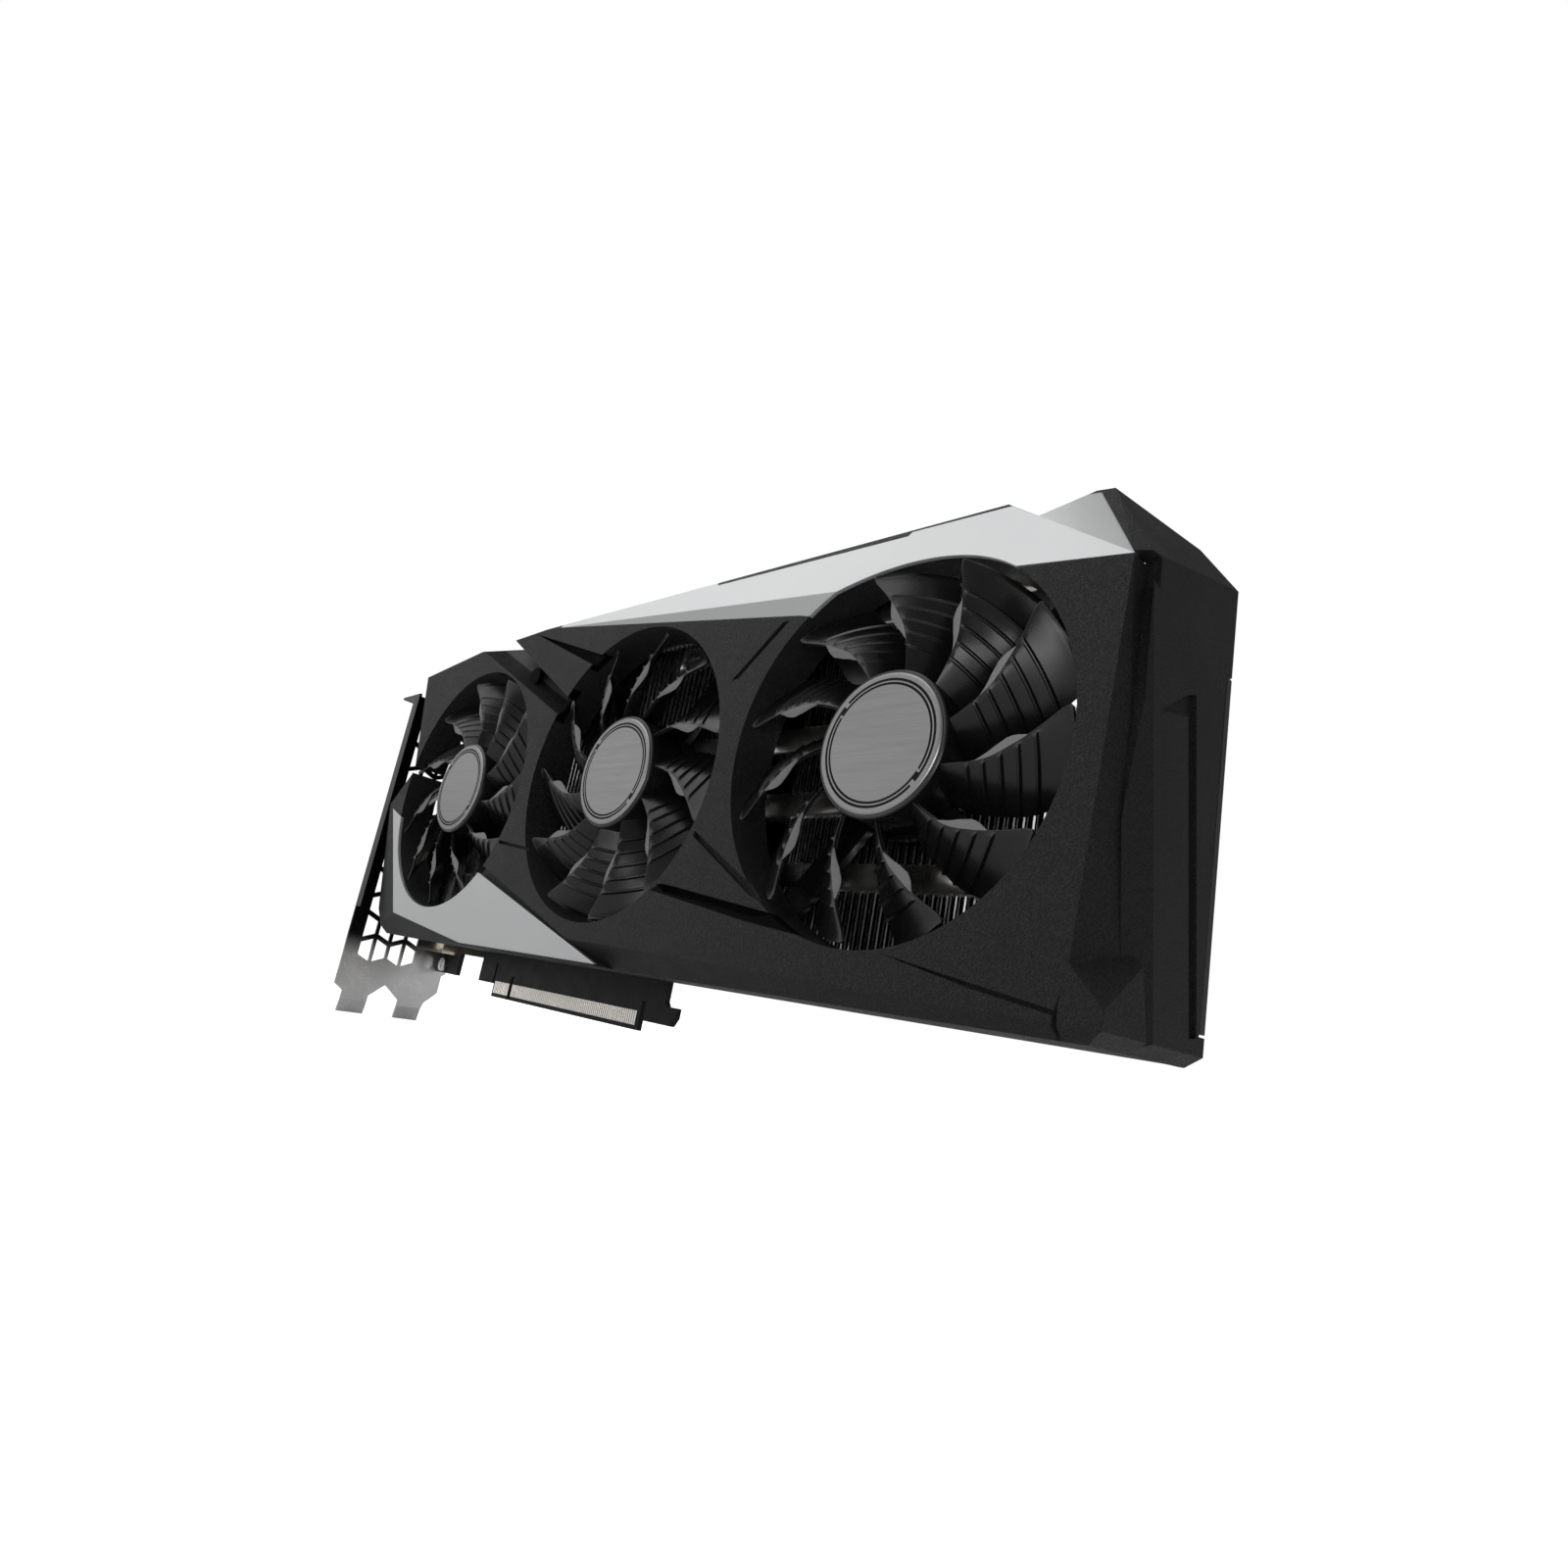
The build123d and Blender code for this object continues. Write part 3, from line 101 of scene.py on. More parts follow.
class Look:
    """A principled material with short calls for the nodes that give it detail."""

    def __init__(self, name, metallic=0.0, coat=0.0, specular=0.5):
        self.material = bpy.data.materials.new(name)
        self.material.use_nodes = True
        self.tree = self.material.node_tree
        self.shader = self.tree.nodes["Principled BSDF"]
        self.shader.inputs["Metallic"].default_value = metallic
        self.shader.inputs["Coat Weight"].default_value = coat
        self.shader.inputs["Specular IOR Level"].default_value = specular
        self.place = self.node("ShaderNodeTexCoord").outputs["Object"]
        self.base = None
        self.normal = None

    def node(self, kind, **settings):
        made = self.tree.nodes.new(kind)
        for name, value in settings.items():
            setattr(made, name, value)
        return made

    def wire(self, source, target):
        """Links a socket to the target, or sets the target to a plain value."""
        if isinstance(source, bpy.types.NodeSocket):
            self.tree.links.new(source, target)
        else:
            target.default_value = source

    # Numbers and masks

    def math(self, operation, *values, clamp=False):
        made = self.node("ShaderNodeMath", operation=operation, use_clamp=clamp)
        for value, socket in zip(values, made.inputs):
            self.wire(value, socket)
        return made.outputs[0]

    def spread(self, value, low, high, start=0.0, end=1.0):
        """Value between start and end, mapped from the span low to high and held beyond it."""
        made = self.node("ShaderNodeMapRange", interpolation_type="SMOOTHSTEP")
        for source, socket in zip((value, low, high, start, end), made.inputs):
            self.wire(source, socket)
        return made.outputs[0]

    def mixture(self, first, second, share):
        """A share of the first number and the rest of the second."""
        return self.math("MULTIPLY_ADD", first, share, self.math("MULTIPLY", second, 1 - share))

    def largest(self, masks):
        """The largest of several masks at each point."""
        result = masks[0]
        for mask in masks[1:]:
            result = self.math("MAXIMUM", result, mask)
        return result

    def blend(self, share, first, second, kind="RGBA"):
        """Colour or vector between two others."""
        made = self.node("ShaderNodeMix", data_type=kind)
        first_input, second_input, output = MIX_SOCKETS[kind]
        self.wire(share, made.inputs["Factor"])
        self.wire(first, made.inputs[first_input])
        self.wire(second, made.inputs[second_input])
        return made.outputs[output]

    # Where a point lies and what is scattered there

    def along(self, direction):
        """How far a point lies along a direction, in millimetres."""
        made = self.node("ShaderNodeVectorMath", operation="DOT_PRODUCT")
        self.wire(self.place, made.inputs[0])
        made.inputs[1].default_value = Vector(direction).normalized() / MM
        return made.outputs["Value"]

    def inside(self, corners, edge=0.15):
        """1 within a convex outline in X-Z, its corners in order against the clock, and 0 outside."""
        share = None
        for (x0, z0), (x1, z1) in zip(corners, corners[1:] + corners[:1]):
            length = math.hypot(x1 - x0, z1 - z0)
            inward = (-(z1 - z0) / length, 0.0, (x1 - x0) / length)
            offset = inward[0] * x0 + inward[2] * z0
            side = self.spread(self.along(inward), offset - edge, offset + edge)
            share = side if share is None else self.math("MULTIPLY", share, side)
        return share

    def facing_back(self):
        """How squarely the flat surface faces +Y, from -1 to 1."""
        apart = self.node("ShaderNodeSeparateXYZ")
        self.wire(self.node("ShaderNodeNewGeometry").outputs["True Normal"], apart.inputs[0])
        return apart.outputs["Y"]

    def lines(self, direction, pitch):
        """Fine ridges across a direction, rising and falling once in each pitch."""
        phase = self.math("MULTIPLY", self.along(direction), 2 * math.pi / pitch)
        return self.math("MULTIPLY_ADD", self.math("SINE", phase), 0.5, 0.5)

    def noise(self, grain, stretch=(1, 1, 1), detail=2.0, rough=0.55):
        """Noise whose features are about grain millimetres wide, longer along a stretched axis."""
        mapping = self.node("ShaderNodeMapping")
        self.wire(self.place, mapping.inputs["Vector"])
        mapping.inputs["Scale"].default_value = [1.0 / (grain * MM * s) for s in stretch]
        made = self.node("ShaderNodeTexNoise")
        self.wire(mapping.outputs[0], made.inputs["Vector"])
        made.inputs["Scale"].default_value = 1.0
        made.inputs["Detail"].default_value = detail
        made.inputs["Roughness"].default_value = rough
        return made.outputs["Fac"]

    def cells(self, grain):
        """Distance to the nearest of scattered points, for leathery moulded grain."""
        made = self.node("ShaderNodeTexVoronoi", feature="SMOOTH_F1")
        self.wire(self.place, made.inputs["Vector"])
        made.inputs["Scale"].default_value = 1.0 / (grain * MM)
        return made.outputs["Distance"]

    # What the shader gets

    def paint(self, source):
        self.base = source
        self.wire(source, self.shader.inputs["Base Color"])

    def colour(self, share, first, second):
        self.paint(self.blend(share, tint(first), tint(second)))

    def rough(self, share, low, high):
        self.wire(self.spread(share, *NOISE_SPAN, low, high), self.shader.inputs["Roughness"])

    def soften(self, radius):
        """Rounds sharp edges by a radius in millimetres, for the light only."""
        made = self.node("ShaderNodeBevel", samples=4)
        made.inputs["Radius"].default_value = radius * MM
        self.normal = made.outputs[0]

    def relief(self, height, depth):
        """Raises the surface where height is 1 by depth millimetres."""
        made = self.node("ShaderNodeBump")
        made.inputs["Strength"].default_value = 1.0
        made.inputs["Distance"].default_value = depth * MM
        self.wire(height, made.inputs["Height"])
        if self.normal is not None:
            self.wire(self.normal, made.inputs["Normal"])
        self.normal = made.outputs[0]

    def finish(self):
        if self.normal is not None:
            self.wire(self.normal, self.shader.inputs["Normal"])
        return self.material


# ---------------------------------------------------------------- families of finish
PLASTIC_SPECULAR = 0.34


def moulded_black(name, dark, light, grain, depth, roughness, radius=0.25):
    """Moulded plastic with a fine grain of that width and depth; its maker may add to it."""
    look = Look(name, specular=PLASTIC_SPECULAR)
    look.soften(radius)
    patches = look.noise(14.0, detail=4.0)
    grains = look.spread(look.noise(grain, detail=3.0, rough=0.7), 0.36, 0.66)
    look.colour(look.mixture(grains, patches, 0.75), dark, light)
    dullness = look.math("MULTIPLY_ADD", grains, -0.5, look.math("ADD", patches, 0.25))
    look.rough(dullness, roughness - 0.06, roughness + 0.07)
    look.relief(look.cells(grain), depth)
    look.relief(grains, depth * 0.6)
    return look


def brushed_metal(name, dark, light, rough_low, rough_high, stretch=(1, 1, 40), metallic=1.0):
    """Rolled or brushed metal with its grain along the stretched axis; its maker may add to it."""
    look = Look(name, metallic=metallic)
    look.soften(0.12)
    fine = look.noise(0.12, stretch=stretch, detail=3.0, rough=0.65)
    cloud = look.noise(12.0, detail=3.0)
    look.colour(look.mixture(fine, cloud, 0.6), dark, light)
    look.rough(cloud, rough_low, rough_high)
    look.relief(fine, 0.006)
    return look


def simple(name, dark, light, rough_low, rough_high, grain=0.5, depth=0.02, metallic=0.0, coat=0.0):
    """A speckled finish for the small pieces."""
    look = Look(name, metallic=metallic, coat=coat)
    look.soften(0.1)
    fine = look.noise(grain, detail=3.0)
    look.colour(fine, dark, light)
    look.rough(look.noise(grain * 8, detail=2.0), rough_low, rough_high)
    look.relief(fine, depth)
    return look.finish()


# ---------------------------------------------------------------- shroud
# Panels of fine parallel ridges on the shroud's face, as X-Z outlines and the direction across the ridges.
RIDGED_PANELS = [
    ([(117.5, 35.6), (157.0, 30.6), (127.0, 46.2)], (0.28, 0, 1.0)),
    ([(38.5, 46.8), (56.0, 44.0), (58.0, 88.0), (53.0, 84.0), (42.0, 70.0)], (0.3, 0, 1.0)),
    ([(-42.0, 80.0), (-34.0, 72.0), (-2.0, 104.0), (-7.0, 114.2), (-48.4, 110.6)], (0.35, 0, 1.0)),
    ([(58.5, 89.0), (66.0, 97.0), (28.5, 114.0), (15.0, 114.3)], (0.5, 0, 1.0)),
]
PANEL_RIDGE_PITCH = 0.62
PANEL_RIDGE_DEPTH = 0.10
# Deep channels between the panels, as X-Z outlines and the Y at which each starts. Their faces carry painted
# shade.
CHANNELS = [
    ([(-10.0, 112.5), (26.0, 95.0), (56.0, 81.0), (60.0, 91.0), (20.0, 114.0), (-12.0, 118.0)], -37.3),
    ([(22.0, 117.2), (54.0, 100.5), (68.0, 96.0), (73.5, 99.8), (29.2, 117.2)], -37.3),
    ([(114.5, 33.9), (148.4, 28.4), (163.2, 26.6), (158.4, 30.0), (118.6, 35.6)], -37.8),
]
CHANNEL_END_Y = -34.4
# Colour and gloss of the painted shade in the channels: near black, with little gloss.
CHANNEL_SHADE_COLOUR = 0.001
CHANNEL_SHADE_SPECULAR = 0.04


def shroud_look():
    """Grained plastic with ridged panels, and painted shade in the channels between them."""
    look = moulded_black("shroud_plastic", dark=0.001, light=0.024, grain=0.34, depth=0.26, roughness=0.46)
    back = look.along((0, 1, 0))
    channels = []
    for corners, start_y in CHANNELS:
        entered = look.spread(back, start_y - 0.1, start_y + 0.1)
        not_past = look.spread(back, CHANNEL_END_Y + 0.2, CHANNEL_END_Y - 0.2)
        channels.append(look.math("MULTIPLY", look.inside(corners), look.math("MULTIPLY", entered, not_past)))
    shade = look.largest(channels)
    # Painted shade: the channels' faces turn near black and lose most of their gloss.
    look.paint(look.blend(shade, look.base, tint(CHANNEL_SHADE_COLOUR)))
    look.wire(look.spread(shade, 0.0, 1.0, PLASTIC_SPECULAR, CHANNEL_SHADE_SPECULAR),
              look.shader.inputs["Specular IOR Level"])
    for corners, across in RIDGED_PANELS:
        ridges = look.math("MULTIPLY", look.lines(across, PANEL_RIDGE_PITCH), look.inside(corners))
        look.relief(ridges, PANEL_RIDGE_DEPTH)
    return look.finish()


# ---------------------------------------------------------------- backplate
# Light stripes printed on its outer face, as X-Z outlines.
PRINTED_STRIPES = [
    [(-30.0, 26.0), (-26.4, 26.0), (2.0, 54.4), (-1.6, 54.4)],
    [(-23.6, 26.0), (-22.4, 26.0), (6.0, 54.4), (4.8, 54.4)],
    [(128.0, 88.0), (129.2, 88.0), (149.0, 107.8), (147.8, 107.8)],
    [(132.0, 88.0), (135.6, 88.0), (155.4, 107.8), (151.8, 107.8)],
]
# Shallow channels pressed in it, as the two ends of each in X-Z.
PRESSED_LINES = [
    ((-44.0, 60.0), (24.0, 60.0)),
    ((24.0, 60.0), (34.0, 50.0)),
    ((112.0, 36.0), (124.0, 24.0)),
    ((124.0, 24.0), (158.0, 24.0)),
    ((112.0, 76.0), (112.0, 36.0)),
]
PRESSED_HALF_WIDTH = 0.6
PRESSED_DEPTH = 0.5


def strip_outline(start, end, half_width):
    """Outline of a straight line in X-Z, widened by half_width on every side."""
    (x0, z0), (x1, z1) = start, end
    length = math.hypot(x1 - x0, z1 - z0)
    dx, dz = (x1 - x0) / length * half_width, (z1 - z0) / length * half_width
    return [(x0 - dx + dz, z0 - dz - dx), (x1 + dx + dz, z1 + dz - dx),
            (x1 + dx - dz, z1 + dz + dx), (x0 - dx - dz, z0 - dz + dx)]


def backplate_look():
    """Blasted and painted sheet with pressed channels and printed stripes."""
    look = Look("backplate_metal", specular=0.5)
    look.soften(0.3)
    speckle = look.noise(0.35, detail=3.0, rough=0.7)
    patches = look.noise(18.0, detail=3.0)
    black = look.blend(look.mixture(speckle, patches, 0.6), tint(0.008), tint(0.030))
    ink = look.blend(speckle, tint(0.20), tint(0.30))
    outer_face = look.spread(look.facing_back(), 0.8, 0.95)
    printed = look.largest([look.inside(corners, 0.06) for corners in PRINTED_STRIPES])
    look.paint(look.blend(look.math("MULTIPLY", printed, outer_face), black, ink))
    look.rough(patches, 0.34, 0.46)
    outlines = [strip_outline(start, end, PRESSED_HALF_WIDTH) for start, end in PRESSED_LINES]
    pressed = look.largest([look.inside(corners, 0.35) for corners in outlines])
    look.relief(look.math("SUBTRACT", 1.0, pressed), PRESSED_DEPTH)
    look.relief(look.cells(0.35), 0.05)
    return look.finish()


# ---------------------------------------------------------------- silver panels, fans and badges
def silver_look(name, dark, light, forward_shade):
    """Metallic paint, with painted shade: darker by the given share on facets that face straight forward."""
    look = Look(name, metallic=0.55, coat=0.15)
    look.soften(0.35)
    flake = look.noise(0.12, detail=2.0)
    cloud = look.noise(22.0, detail=3.0)
    coat = look.blend(look.mixture(flake, cloud, 0.5), tint(dark), tint(light))
    # Painted shade: facets that face straight forward are darkened towards near black.
    forward = look.spread(look.facing_back(), -0.96, -0.995)
    look.paint(look.blend(look.math("MULTIPLY", forward, forward_shade), coat, tint(0.02)))
    look.rough(cloud, 0.34, 0.42)
    look.relief(look.noise(0.5, detail=3.0), 0.012)
    look.relief(flake, 0.004)
    return look.finish()


def fan_look():
    """Smooth black plastic of the blades and hubs."""
    look = Look("fan_plastic", specular=0.5)
    look.soften(0.12)
    cloud = look.noise(9.0, detail=4.0)
    speckle = look.noise(0.25, detail=2.0)
    look.colour(look.mixture(speckle, cloud, 0.4), 0.003, 0.010)
    look.rough(cloud, 0.22, 0.32)
    look.relief(speckle, 0.012)
    return look.finish()


def fan_lip_highlight_look():
    """The blades' folded lips, paler than the blades: a painted highlight of the light they catch."""
    look = Look("fan_lip_highlight", specular=0.6)
    cloud = look.noise(5.0, detail=3.0)
    look.colour(cloud, 0.11, 0.17)
    look.rough(cloud, 0.36, 0.46)
    look.relief(look.noise(0.3), 0.008)
    return look.finish()


def badge_look():
    """Aluminium brushed along X."""
    look = Look("badge_aluminium", metallic=1.0)
    fine = look.noise(0.09, stretch=(140, 1, 1), detail=3.0, rough=0.7)
    broad = look.noise(1.1, stretch=(24, 1, 1), detail=3.0)
    look.colour(look.mixture(fine, broad, 0.55), 0.13, 0.44)
    look.rough(broad, 0.30, 0.44)
    look.relief(fine, 0.012)
    brushing = look.node("ShaderNodeVectorTransform", vector_type="VECTOR",
                         convert_from="OBJECT", convert_to="WORLD")
    brushing.inputs[0].default_value = (1.0, 0.0, 0.0)
    look.wire(brushing.outputs[0], look.shader.inputs["Tangent"])
    look.shader.inputs["Anisotropic"].default_value = 0.8
    return look.finish()


def badge_rim_look():
    """The badge's polished edge."""
    look = Look("badge_rim", metallic=1.0)
    fine = look.noise(0.15, detail=2.0)
    look.colour(fine, 0.30, 0.42)
    look.rough(fine, 0.30, 0.40)
    return look.finish()


def ring_ink_look():
    """Matt black ink of the badge's ring lines."""
    look = Look("ring_ink", specular=0.12)
    fine = look.noise(0.12, detail=2.0)
    look.colour(fine, 0.002, 0.006)
    look.rough(fine, 0.50, 0.60)
    look.relief(fine, 0.01)
    return look.finish()


# ---------------------------------------------------------------- cooler, bracket and board
PIPE_MIDDLES_Z = [41.5, 58.0, 74.0, 102.5]
PIPE_HALF_HEIGHT = 2.8
PIPE_CROWN = 0.5
PIPE_DENTS = 0.9


def pipe_look():
    """Plated copper: flattened tubes that stay a little round, dented where they were pressed."""
    look = brushed_metal("nickel", (0.86, 0.83, 0.80), (0.99, 0.975, 0.96), 0.24, 0.36, stretch=(30, 1, 1))
    crowns = []
    for z in PIPE_MIDDLES_Z:
        away = look.math("ABSOLUTE", look.math("SUBTRACT", look.along((0, 0, 1)), z))
        squared = look.math("POWER", look.math("DIVIDE", away, PIPE_HALF_HEIGHT), 2.0)
        crowns.append(look.math("SUBTRACT", 1.0, squared, clamp=True))
    look.relief(look.largest(crowns), PIPE_CROWN)
    look.relief(look.noise(7.0, stretch=(1.6, 1, 0.8), detail=1.5), PIPE_DENTS)
    return look.finish()


# Y of the fins' front edges, and the span behind it where a fin turns from bright flange to the painted shade
# of its sides.
FIN_FRONT_Y = -22.5
FIN_FLANGE_END = (FIN_FRONT_Y + 0.7, FIN_FRONT_Y + 1.4)
FIN_FLANGE_NORMAL = (0.0, -0.97, 0.24)


def fin_look():
    """Bare aluminium whose front edge takes the light like a folded-over flange, with painted shade on the
    sides behind it.
    """
    look = Look("fin_aluminium", metallic=1.0)
    fine = look.noise(0.2, stretch=(1, 1, 30), detail=3.0)
    bare = look.blend(fine, tint(0.90), tint(0.98))
    # Painted shade: behind the flange the fins' aluminium sides are coloured near black.
    painted_side_shade = look.blend(fine, tint(0.006), tint(0.015))
    behind = look.spread(look.along((0, 1, 0)), *FIN_FLANGE_END)
    look.paint(look.blend(behind, bare, painted_side_shade))
    look.rough(fine, 0.22, 0.34)
    surface = look.node("ShaderNodeNewGeometry").outputs["Normal"]
    look.normal = look.blend(behind, FIN_FLANGE_NORMAL, surface, kind="VECTOR")
    look.relief(fine, 0.006)
    return look.finish()


# Z between which the bracket turns from bare steel to black, on an edge that wanders by up to 3 mm.
BRACKET_BLACK_Z = (6.0, 15.0)


def bracket_look():
    """Satin steel at the foot, blackened from the vents up."""
    look = Look("bracket_steel", metallic=0.9)
    cloud = look.noise(9.0, detail=3.0)
    fine = look.noise(0.16, stretch=(1, 30, 1), detail=3.0)
    steel = look.blend(fine, tint(0.66), tint(0.82))
    black = look.blend(fine, tint(0.012), tint(0.024))
    height = look.math("MULTIPLY_ADD", cloud, 3.0, look.along((0, 0, 1)))
    look.paint(look.blend(look.spread(height, *BRACKET_BLACK_Z), steel, black))
    look.rough(cloud, 0.24, 0.36)
    look.relief(fine, 0.005)
    return look.finish()


TRACE_PITCH = 1.3


def board_look():
    """Black solder mask over faint traces."""
    look = Look("board", specular=0.25)
    look.soften(0.1)
    cloud = look.noise(6.0, detail=3.0)
    look.colour(cloud, 0.002, 0.006)
    look.rough(cloud, 0.38, 0.5)
    traces = look.lines((1.0, 0.0, 0.6), TRACE_PITCH)
    look.relief(look.spread(traces, 0.45, 0.55), 0.02)
    look.relief(look.noise(0.3), 0.01)
    return look.finish()


# ---------------------------------------------------------------- every look, and what wears it
LOOKS = {
    "shroud": shroud_look(),
    "end_cap": moulded_black("end_cap_plastic", dark=0.001, light=0.018, grain=0.30, depth=0.22,
                             roughness=0.46).finish(),
    # The top panel's silver gets painted shade on its forward-facing facets.
    "silver": silver_look("silver_paint", (0.57, 0.575, 0.58), (0.68, 0.685, 0.69), forward_shade=0.45),
    "silver_low": silver_look("silver_paint_low", (0.49, 0.495, 0.50), (0.58, 0.585, 0.59), forward_shade=0.0),
    "fan": fan_look(),
    # The blades' lips get a painted highlight.
    "fan_lip_highlight": fan_lip_highlight_look(),
    "badge": badge_look(),
    "badge_rim": badge_rim_look(),
    "ring_ink": ring_ink_look(),
    "fins": fin_look(),
    "bracket": bracket_look(),
    "board": board_look(),
    "gold": brushed_metal("gold", (0.94, 0.88, 0.80), (1.0, 0.97, 0.93), 0.24, 0.34,
                          stretch=(1, 1, 12)).finish(),
    "nickel": pipe_look(),
    "steel": brushed_metal("steel", 0.45, 0.65, 0.22, 0.34, stretch=(1, 1, 6)).finish(),
    "port_steel": brushed_metal("port_steel", (0.66, 0.60, 0.46), (0.86, 0.80, 0.64), 0.18, 0.30).finish(),
    "black_metal": brushed_metal("black_metal", 0.02, 0.045, 0.34, 0.46, metallic=0.6).finish(),
    "backplate": backplate_look(),
    "nylon": moulded_black("nylon", dark=0.010, light=0.02, grain=0.4, depth=0.02, roughness=0.5,
                           radius=0.15).finish(),
    "dark_screws": simple("dark_screws", 0.02, 0.05, 0.3, 0.42, metallic=0.7),
    "diffuser": simple("diffuser", 0.62, 0.74, 0.42, 0.55, depth=0.01),
    "substrate": simple("substrate", (0.010, 0.045, 0.028), (0.018, 0.065, 0.040), 0.4, 0.5),
    "silicon": simple("silicon", (0.05, 0.05, 0.06), (0.09, 0.09, 0.10), 0.08, 0.14, depth=0.002, coat=0.3),
    "epoxy": simple("epoxy", 0.014, 0.026, 0.42, 0.55, grain=0.3),
    "pad": simple("pad", (0.26, 0.29, 0.33), (0.34, 0.37, 0.41), 0.7, 0.85, depth=0.05),
    "ferrite": simple("ferrite", 0.05, 0.085, 0.5, 0.65, grain=0.25, depth=0.03),
    "can": simple("can", 0.55, 0.72, 0.22, 0.32, metallic=1.0, depth=0.004),
    "magnet": simple("magnet", 0.03, 0.05, 0.5, 0.62),
    "brass": simple("brass", (0.58, 0.42, 0.20), (0.72, 0.56, 0.30), 0.28, 0.4, metallic=1.0, depth=0.005),
    "motor": simple("motor", (0.20, 0.11, 0.06), (0.34, 0.20, 0.12), 0.35, 0.5, metallic=0.6, grain=0.4),
}

NODE_LOOKS = {
    "shroud": "shroud", "end_cap": "end_cap", "accent_top": "silver", "accent_lower": "silver_low",
    "light_bar": "diffuser", "fan_screws": "steel", "lug_screws": "steel", "backplate_screws": "dark_screws",
    "clamp_screws": "steel", "clamp_plate": "steel", "circuit_board": "board", "edge_contacts": "gold",
    "gpu_package": "substrate", "gpu_die": "silicon", "memory_chips": "epoxy", "memory_pads": "pad",
    "power_stage_pads": "pad", "power_chokes": "ferrite", "power_stages": "epoxy", "fan_headers": "nylon",
    "capacitors": "can", "cold_plate": "nickel", "cooler_plate": "black_metal", "heat_pipes": "nickel",
    "fin_stack_main": "fins", "fin_stack_end": "fins", "bracket": "bracket", "hdmi_ports": "port_steel",
    "display_ports": "port_steel", "power_socket_6pin": "nylon", "power_socket_8pin": "nylon",
    "backplate": "backplate",
}
for fan in FANS:
    NODE_LOOKS.update({
        f"fan_rotor_{fan}": "fan", f"hub_badge_{fan}": "badge", f"fan_shaft_{fan}": "steel",
        f"magnet_ring_{fan}": "magnet", f"fan_bearing_{fan}": "brass", f"stator_{fan}": "motor",
        f"motor_base_{fan}": "fan",
    })

for name, look in NODE_LOOKS.items():
    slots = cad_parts[name].data.materials
    slots.clear()
    slots.append(LOOKS[look])


# ---------------------------------------------------------------- mesh helpers
def make_piece(name, points, faces, face_looks, looks, body, sharp):
    """Mesh piece from points in millimetres, riding on a body; edges over sharp degrees stay sharp."""
    mesh = bpy.data.meshes.new(name)
    mesh.from_pydata([[c * MM for c in p] for p in points], [], faces)
    for look in looks:
        mesh.materials.append(LOOKS[look])
    mesh.polygons.foreach_set("material_index", [looks.index(look) for look in face_looks])
    mesh.polygons.foreach_set("use_smooth", [True] * len(faces))
    mesh.update()
    mesh.set_sharp_from_angle(angle=math.radians(sharp))
    piece = bpy.data.objects.new(name, mesh)
    bpy.context.scene.collection.objects.link(piece)
    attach(piece, body)
    return piece


def grid_faces(rows, columns, start, closed=False, flip=False):
    """Quads of a grid of points, numbered row by row from start."""
    faces = []
    for i in range(rows - 1):
        for j in range(columns if closed else columns - 1):
            a = start + i * columns + j
            b = start + i * columns + (j + 1) % columns
            quad = (a, b, b + columns, a + columns)
            faces.append(quad[::-1] if flip else quad)
    return faces


def lathe(points, faces, face_looks, centre, profile, segments, look_of):
    """Turns a profile of (radius, y) about a fan's axis and closes both its ends with discs.

    look_of names the look of each face from its band, counted along the profile, and its segment.
    """
    start = len(points)
    for r, y in profile:
        for k in range(segments):
            a = 2 * math.pi * k / segments
            points.append((centre[0] + r * math.cos(a), y, centre[1] + r * math.sin(a)))
    bands = len(profile) - 1
    faces += grid_faces(len(profile), segments, start, closed=True, flip=True)
    face_looks += [look_of(band, k) for band in range(bands) for k in range(segments)]
    last = start + bands * segments
    faces.append([start + k for k in range(segments)])
    faces.append([last + k for k in reversed(range(segments))])
    face_looks += [look_of(0, 0), look_of(0, 0)]


def interpolate(table, at):
    """Value from a short list of (position, value) pairs, straight between them."""
    if at <= table[0][0]:
        return table[0][1]
    for (x0, y0), (x1, y1) in zip(table, table[1:]):
        if at <= x1:
            return y0 + (y1 - y0) * (at - x0) / (x1 - x0)
    return table[-1][1]


def fan_centre(fan):
    """X and Z of a fan's axis in millimetres."""
    low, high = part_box(f"hub_badge_{fan}")
    return ((low.x + high.x) / 2 / MM, (low.z + high.z) / 2 / MM)


# ---------------------------------------------------------------- fan rotors
BLADES = 11
ROOT_R = 14.7
TIP_R = 38.8
BLADE_FRONT_Y = -36.2
BLADE_BACK_Y = -27.4
BLADE_THICK = 0.95
# A blade's depth grows with this power of the distance from its front edge.
BLADE_SWEEP = 1.2
# Front edge of a blade: radius in mm and angle in degrees, for the blade that points right.
FRONT_EDGE = [(14.7, -19.6), (18.9, -15.6), (22.4, -12.4), (24.6, -10.2), (27.7, -5.9), (30.9, -2.0),
              (32.9, 0.2), (34.9, 2.5), (36.9, 4.6), (38.0, 5.2), (38.6, 5.3), (38.8, 4.7)]
# Rear edge of the same blade.
REAR_EDGE = [(14.7, -41.0), (22.0, -33.5), (26.0, -29.2), (31.0, -24.6), (34.7, -20.0), (36.5, -18.8),
             (38.2, -18.2), (38.8, -16.5)]
# Width in degrees of the folded lip in front of that edge, by radius.
LIP = [(21.6, 0.35), (23.0, 2.0), (25.0, 4.4), (27.2, 4.9), (29.2, 2.8), (30.9, 0.35)]
# How far the lip's edge drops back, in mm for each degree of its width: 0.25 mm where it is 4.4 wide.
LIP_SLOPE = 0.25 / 4.4
